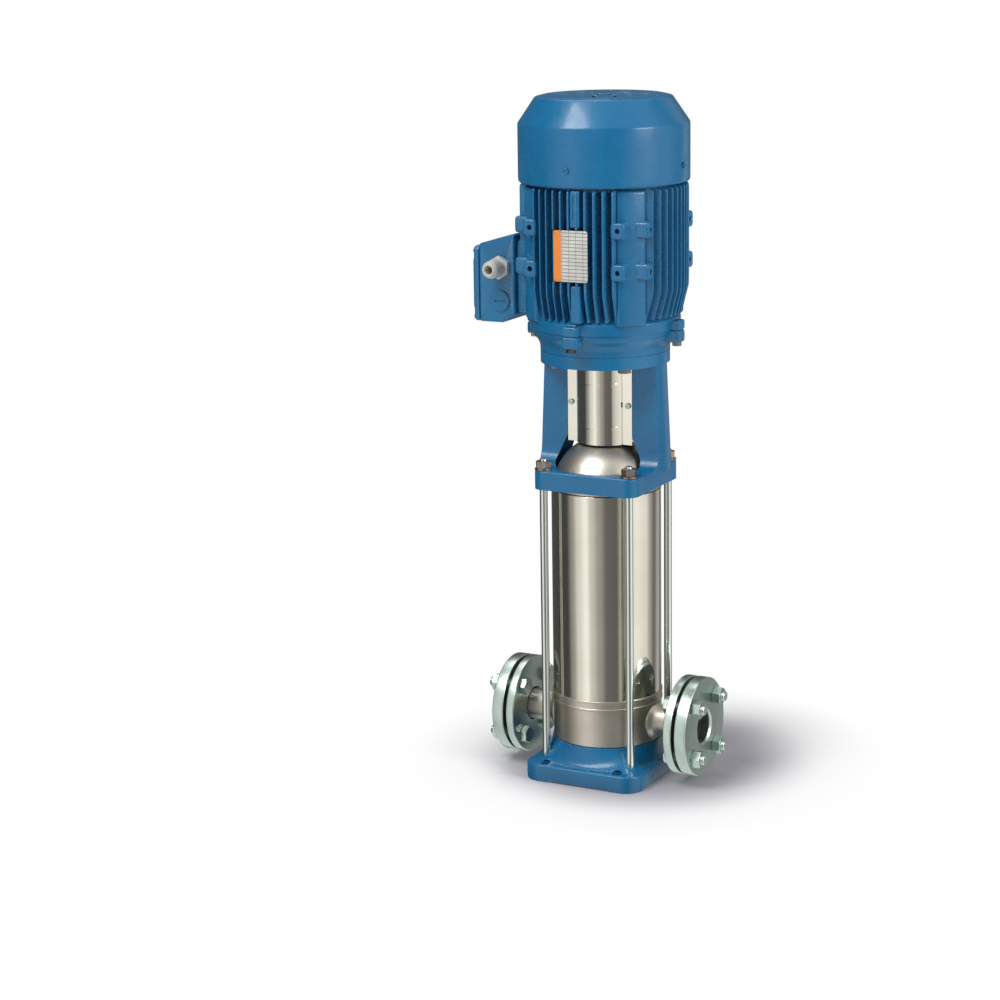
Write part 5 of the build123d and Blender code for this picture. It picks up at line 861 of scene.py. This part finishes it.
screw_low, screw_high = span("small_screws")
screw = facing(spun(slotted(), 28), "+x") + (COVER_RADIUS, 0, screw_high[2] - SCREW_HEAD)
screws = [shell(spun(screw, quarter)) for quarter in QUARTERS]
dress("cover_screws", screws, "painted_sheet", "small_screws", crease=30)
guard_low, guard_high = span("coupling_guard_front")
guard_middle = (guard_low[2] + guard_high[2]) / 2
screws = [set_at(spun(slotted(), 35 * sx), way, sx * (guard_high[0] - 6), sy * GUARD_STRIP, guard_middle)
          for sx in (-1, 1) for way, sy in (("+y", 1), ("-y", -1))]
dress("guard_screws", screws, "zinc_steel", "small_screws", crease=30)


# ---- terminal box: iron casting on the frame's saddle, its roof falling towards the lid ----
# The lid is a shallow casting with a raised middle, held by a screw in each corner.
LID_X, BOX_HALF_Y, HEEL_OUT, HEEL_UP = -box_low[0], box_high[1], 22.0, 14.0
LID_EDGE, PANEL_EDGE, PANEL_NOTCH = 8, 4, 17
lid_low, lid_high = span("terminal_lid")
back = -box_high[0]
outline = rounded([(-back, box_low[2] + HEEL_UP, 4), (-back, box_high[2], 4), (-LID_X, lid_high[2] + 3.5, 5),
                   (-LID_X, box_low[2], 4), (-back - HEEL_OUT, box_low[2], 6)], closed=True)


def carried(outline, ends):
    """Carries a closed outline along its axis: each (inset, distance) of the ends draws it in evenly."""
    step = np.roll(outline, -1, 0) - np.roll(outline, 1, 0)
    step /= np.linalg.norm(step, axis=1)[:, None]
    normal = np.stack([step[:, 1], -step[:, 0]], 1)
    area = np.sum(outline[:, 0] * np.roll(outline[:, 1], -1) - np.roll(outline[:, 0], -1) * outline[:, 1])
    normal *= np.sign(area)
    return np.stack([np.c_[outline - normal * inset, np.full(len(outline), at)] for inset, at in ends])


def soft_ends(low, high, ease, steps=5):
    """Insets and distances for two rounded ends of a carried outline."""
    turns = np.radians(np.linspace(0, 90, steps))
    start = [(ease + 0.8, low)] + [(ease * (1 - math.sin(t)), low + ease * (1 - math.cos(t))) for t in turns]
    return start + [(inset, high - (at - low)) for inset, at in start[::-1]]


body = carried(outline, soft_ends(-BOX_HALF_Y, BOX_HALF_Y, 3.5))
box_shell = shell(np.stack([body[..., 0], body[..., 2], body[..., 1]], -1))
dress("connection_box", [box_shell], "painted_casting", "terminal_box")
middle_z, half_z = (lid_low[2] + lid_high[2]) / 2, (lid_high[2] - lid_low[2]) / 2
rim = rounded([(-BOX_HALF_Y, -half_z, LID_EDGE), (BOX_HALF_Y, -half_z, LID_EDGE),
               (BOX_HALF_Y, half_z, LID_EDGE), (-BOX_HALF_Y, half_z, LID_EDGE)], closed=True)
thick = -lid_low[0] - LID_X
plate = carried(rim, [(1.2, 0.3), (0.3, 1.0), (0, 2.0), (0, thick - 5), (0.5, thick - 4), (1.4, thick - 3.3),
                      (2.2, thick - 3.2), (3.2, thick - 3.2)])
# half of the raised panel's outline, with a notch at each corner; the other half is the same, turned
wide, deep = BOX_HALF_Y - PANEL_EDGE, half_z - PANEL_EDGE
notch_y, notch_z = BOX_HALF_Y - PANEL_NOTCH, half_z - PANEL_NOTCH
turned_half = [(-wide, -notch_z, 7), (-notch_y, -notch_z, 6), (-notch_y, -deep, 7),
               (notch_y, -deep, 7), (notch_y, -notch_z, 6), (wide, -notch_z, 7)]
inner = rounded(turned_half + [(-y, -z, ease) for y, z, ease in turned_half], closed=True)
panel = carried(inner, [(0, thick - 5), (0.2, thick - 2), (0.7, thick - 0.6), (1.3, thick - 0.1),
                        (1.8, thick), (2.6, thick)])
stud = turned(rounded([(6.6, thick - 5, 0), (6.4, thick - 4, 0.6), (5.4, thick - 4, 0.4)]), 32)
lid = [set_at(moved(grid, z=LID_X), "-x", z=middle_z) for grid in (plate, panel)]
lid += [set_at(moved(stud, z=LID_X), "-x", 0, sy * (BOX_HALF_Y - LID_EDGE), middle_z + sz * (half_z - LID_EDGE))
        for sy in (-1, 1) for sz in (-1, 1)]
dress("box_lid", lid, "painted_casting", "terminal_lid")
seat = screw_low[0] + HEAD_THICKNESS
lid_screws = [set_at(spun(slotted(), 20 * sy + 50), "-x", seat, sy * (BOX_HALF_Y - 7), height)
              for sy in (-1, 1) for height in (lid_low[2] + 7, lid_high[2] - 7)]
dress("lid_screws", lid_screws, "zinc_steel", "small_screws", crease=30)


# ---- nameplate: thin printed aluminium on the front rail, with a rivet in each corner ----
# A plain coloured band down one side and faint ruling mark where a maker would print; it has no words.
plate_paint, parts, wires = new_material("ruled_plate")
split = step(parts, wires, "SeparateXYZ", {0: step(parts, wires, "TexCoord").outputs["Object"]}).outputs
LINE_PITCH, COLUMN_PITCH, BAND_WIDTH = 5.2, 11.3, 12


def stripe(value, pitch, share):
    """1 in the first share of each pitch along a coordinate, else 0."""
    count = step(parts, wires, "Math", {0: value, 1: 1 / (pitch * MM)}, operation="MULTIPLY").outputs[0]
    rest = step(parts, wires, "Math", {0: count, 1: 1}, operation="FLOORED_MODULO").outputs[0]
    return step(parts, wires, "Math", {0: rest, 1: share}, operation="LESS_THAN").outputs[0]


sheen = between(parts, wires, grain(parts, wires, 60, 4), 0, 1)
silver = blend(parts, wires, sheen, (0.52, 0.51, 0.48), (0.66, 0.65, 0.62))
ruled = blend(parts, wires, stripe(split["Z"], LINE_PITCH, 0.20), silver, (0.20, 0.19, 0.18))
cells = blend(parts, wires, stripe(split["X"], COLUMN_PITCH, 0.07), ruled, (0.24, 0.23, 0.22))
edge = (plate_low[0] + BAND_WIDTH) * MM
in_band = step(parts, wires, "Math", {0: split["X"], 1: edge}, operation="LESS_THAN").outputs[0]
shader = step(parts, wires, "BsdfPrincipled", {
    "Base Color": blend(parts, wires, in_band, cells, (0.80, 0.25, 0.035)), "Metallic": 0.35,
    "Roughness": between(parts, wires, grain(parts, wires, 300), 0.30, 0.44),
    "Normal": relief(parts, wires, grain(parts, wires, 500), 0.004)})
finished(parts, wires, shader.outputs[0])
half_x, half_z = (plate_high[0] - plate_low[0]) / 2, (plate_high[2] - plate_low[2]) / 2
centre = ((plate_low[0] + plate_high[0]) / 2, 0, (plate_low[2] + plate_high[2]) / 2)
back, face = -plate_high[1], -plate_low[1]
plate = [shell(facing(boss(half_x, half_z, back, face - 0.8, 0.35, power=24), "-y") + centre)]
rivet = turned(rounded([(1.9, back, 0), (1.9, face - 0.7, 0.3), (1.5, face - 0.2, 0.6), (0.3, face, 0)]), 24)
for sx, sz in CORNERS:
    plate.append(shell(facing(rivet, "-y") + centre + np.array([sx * (half_x - 3.4), 0, sz * (half_z - 3.4)])))
label = dress("ruled_nameplate", plate, "plate_metal", "nameplate", crease=30)
label.data.materials[0] = plate_paint


# ---- cable gland: pale moulded plastic, a hexagon against the box and a domed cap nut ----
# The cap has grip ribs round it and an open mouth that closes on the cable.
low, high = span("cable_gland")
GLAND_X, GLAND_HEIGHT = (low[0] + high[0]) / 2, (low[2] + high[2]) / 2
GLAND_ACROSS, CAP_RADIUS, MOUTH_RADIUS = 31.0, 13.7, 6.5
face = BOX_HALF_Y
tip = -low[1]
cap = rounded([(11.4, face - 9, 0), (11.4, face + 8, 0), (12.2, face + 9, 0), (12.2, face + 13, 0),
               (CAP_RADIUS, face + 13.4, 0.8), (CAP_RADIUS, face + 27, 2), (CAP_RADIUS - 1.2, tip - 5, 3),
               (CAP_RADIUS - 4.6, tip, 2.2), (MOUTH_RADIUS + 0.6, tip, 1), (MOUTH_RADIUS, tip - 2, 0),
               (MOUTH_RADIUS, face - 9, 0)], closed=True)
cap = turned(cap, 96)
turns = np.arctan2(cap[..., 1], cap[..., 0])
ribbed = (cap[..., 2] > face + 14) & (cap[..., 2] < face + 29) & (np.hypot(cap[..., 0], cap[..., 1]) > 12)
cap[..., :2] *= (1 - 0.028 * ribbed * (0.5 + 0.5 * np.cos(turns * 24)))[..., None]
nut = hexed(GLAND_ACROSS, face, face + 9)
gland = [set_at(cap, "-y", GLAND_X, 0, GLAND_HEIGHT, ring=True), set_at(nut, "-y", GLAND_X, 0, GLAND_HEIGHT)]
dress("gland_body", gland, "grey_plastic", "cable_gland", crease=30)
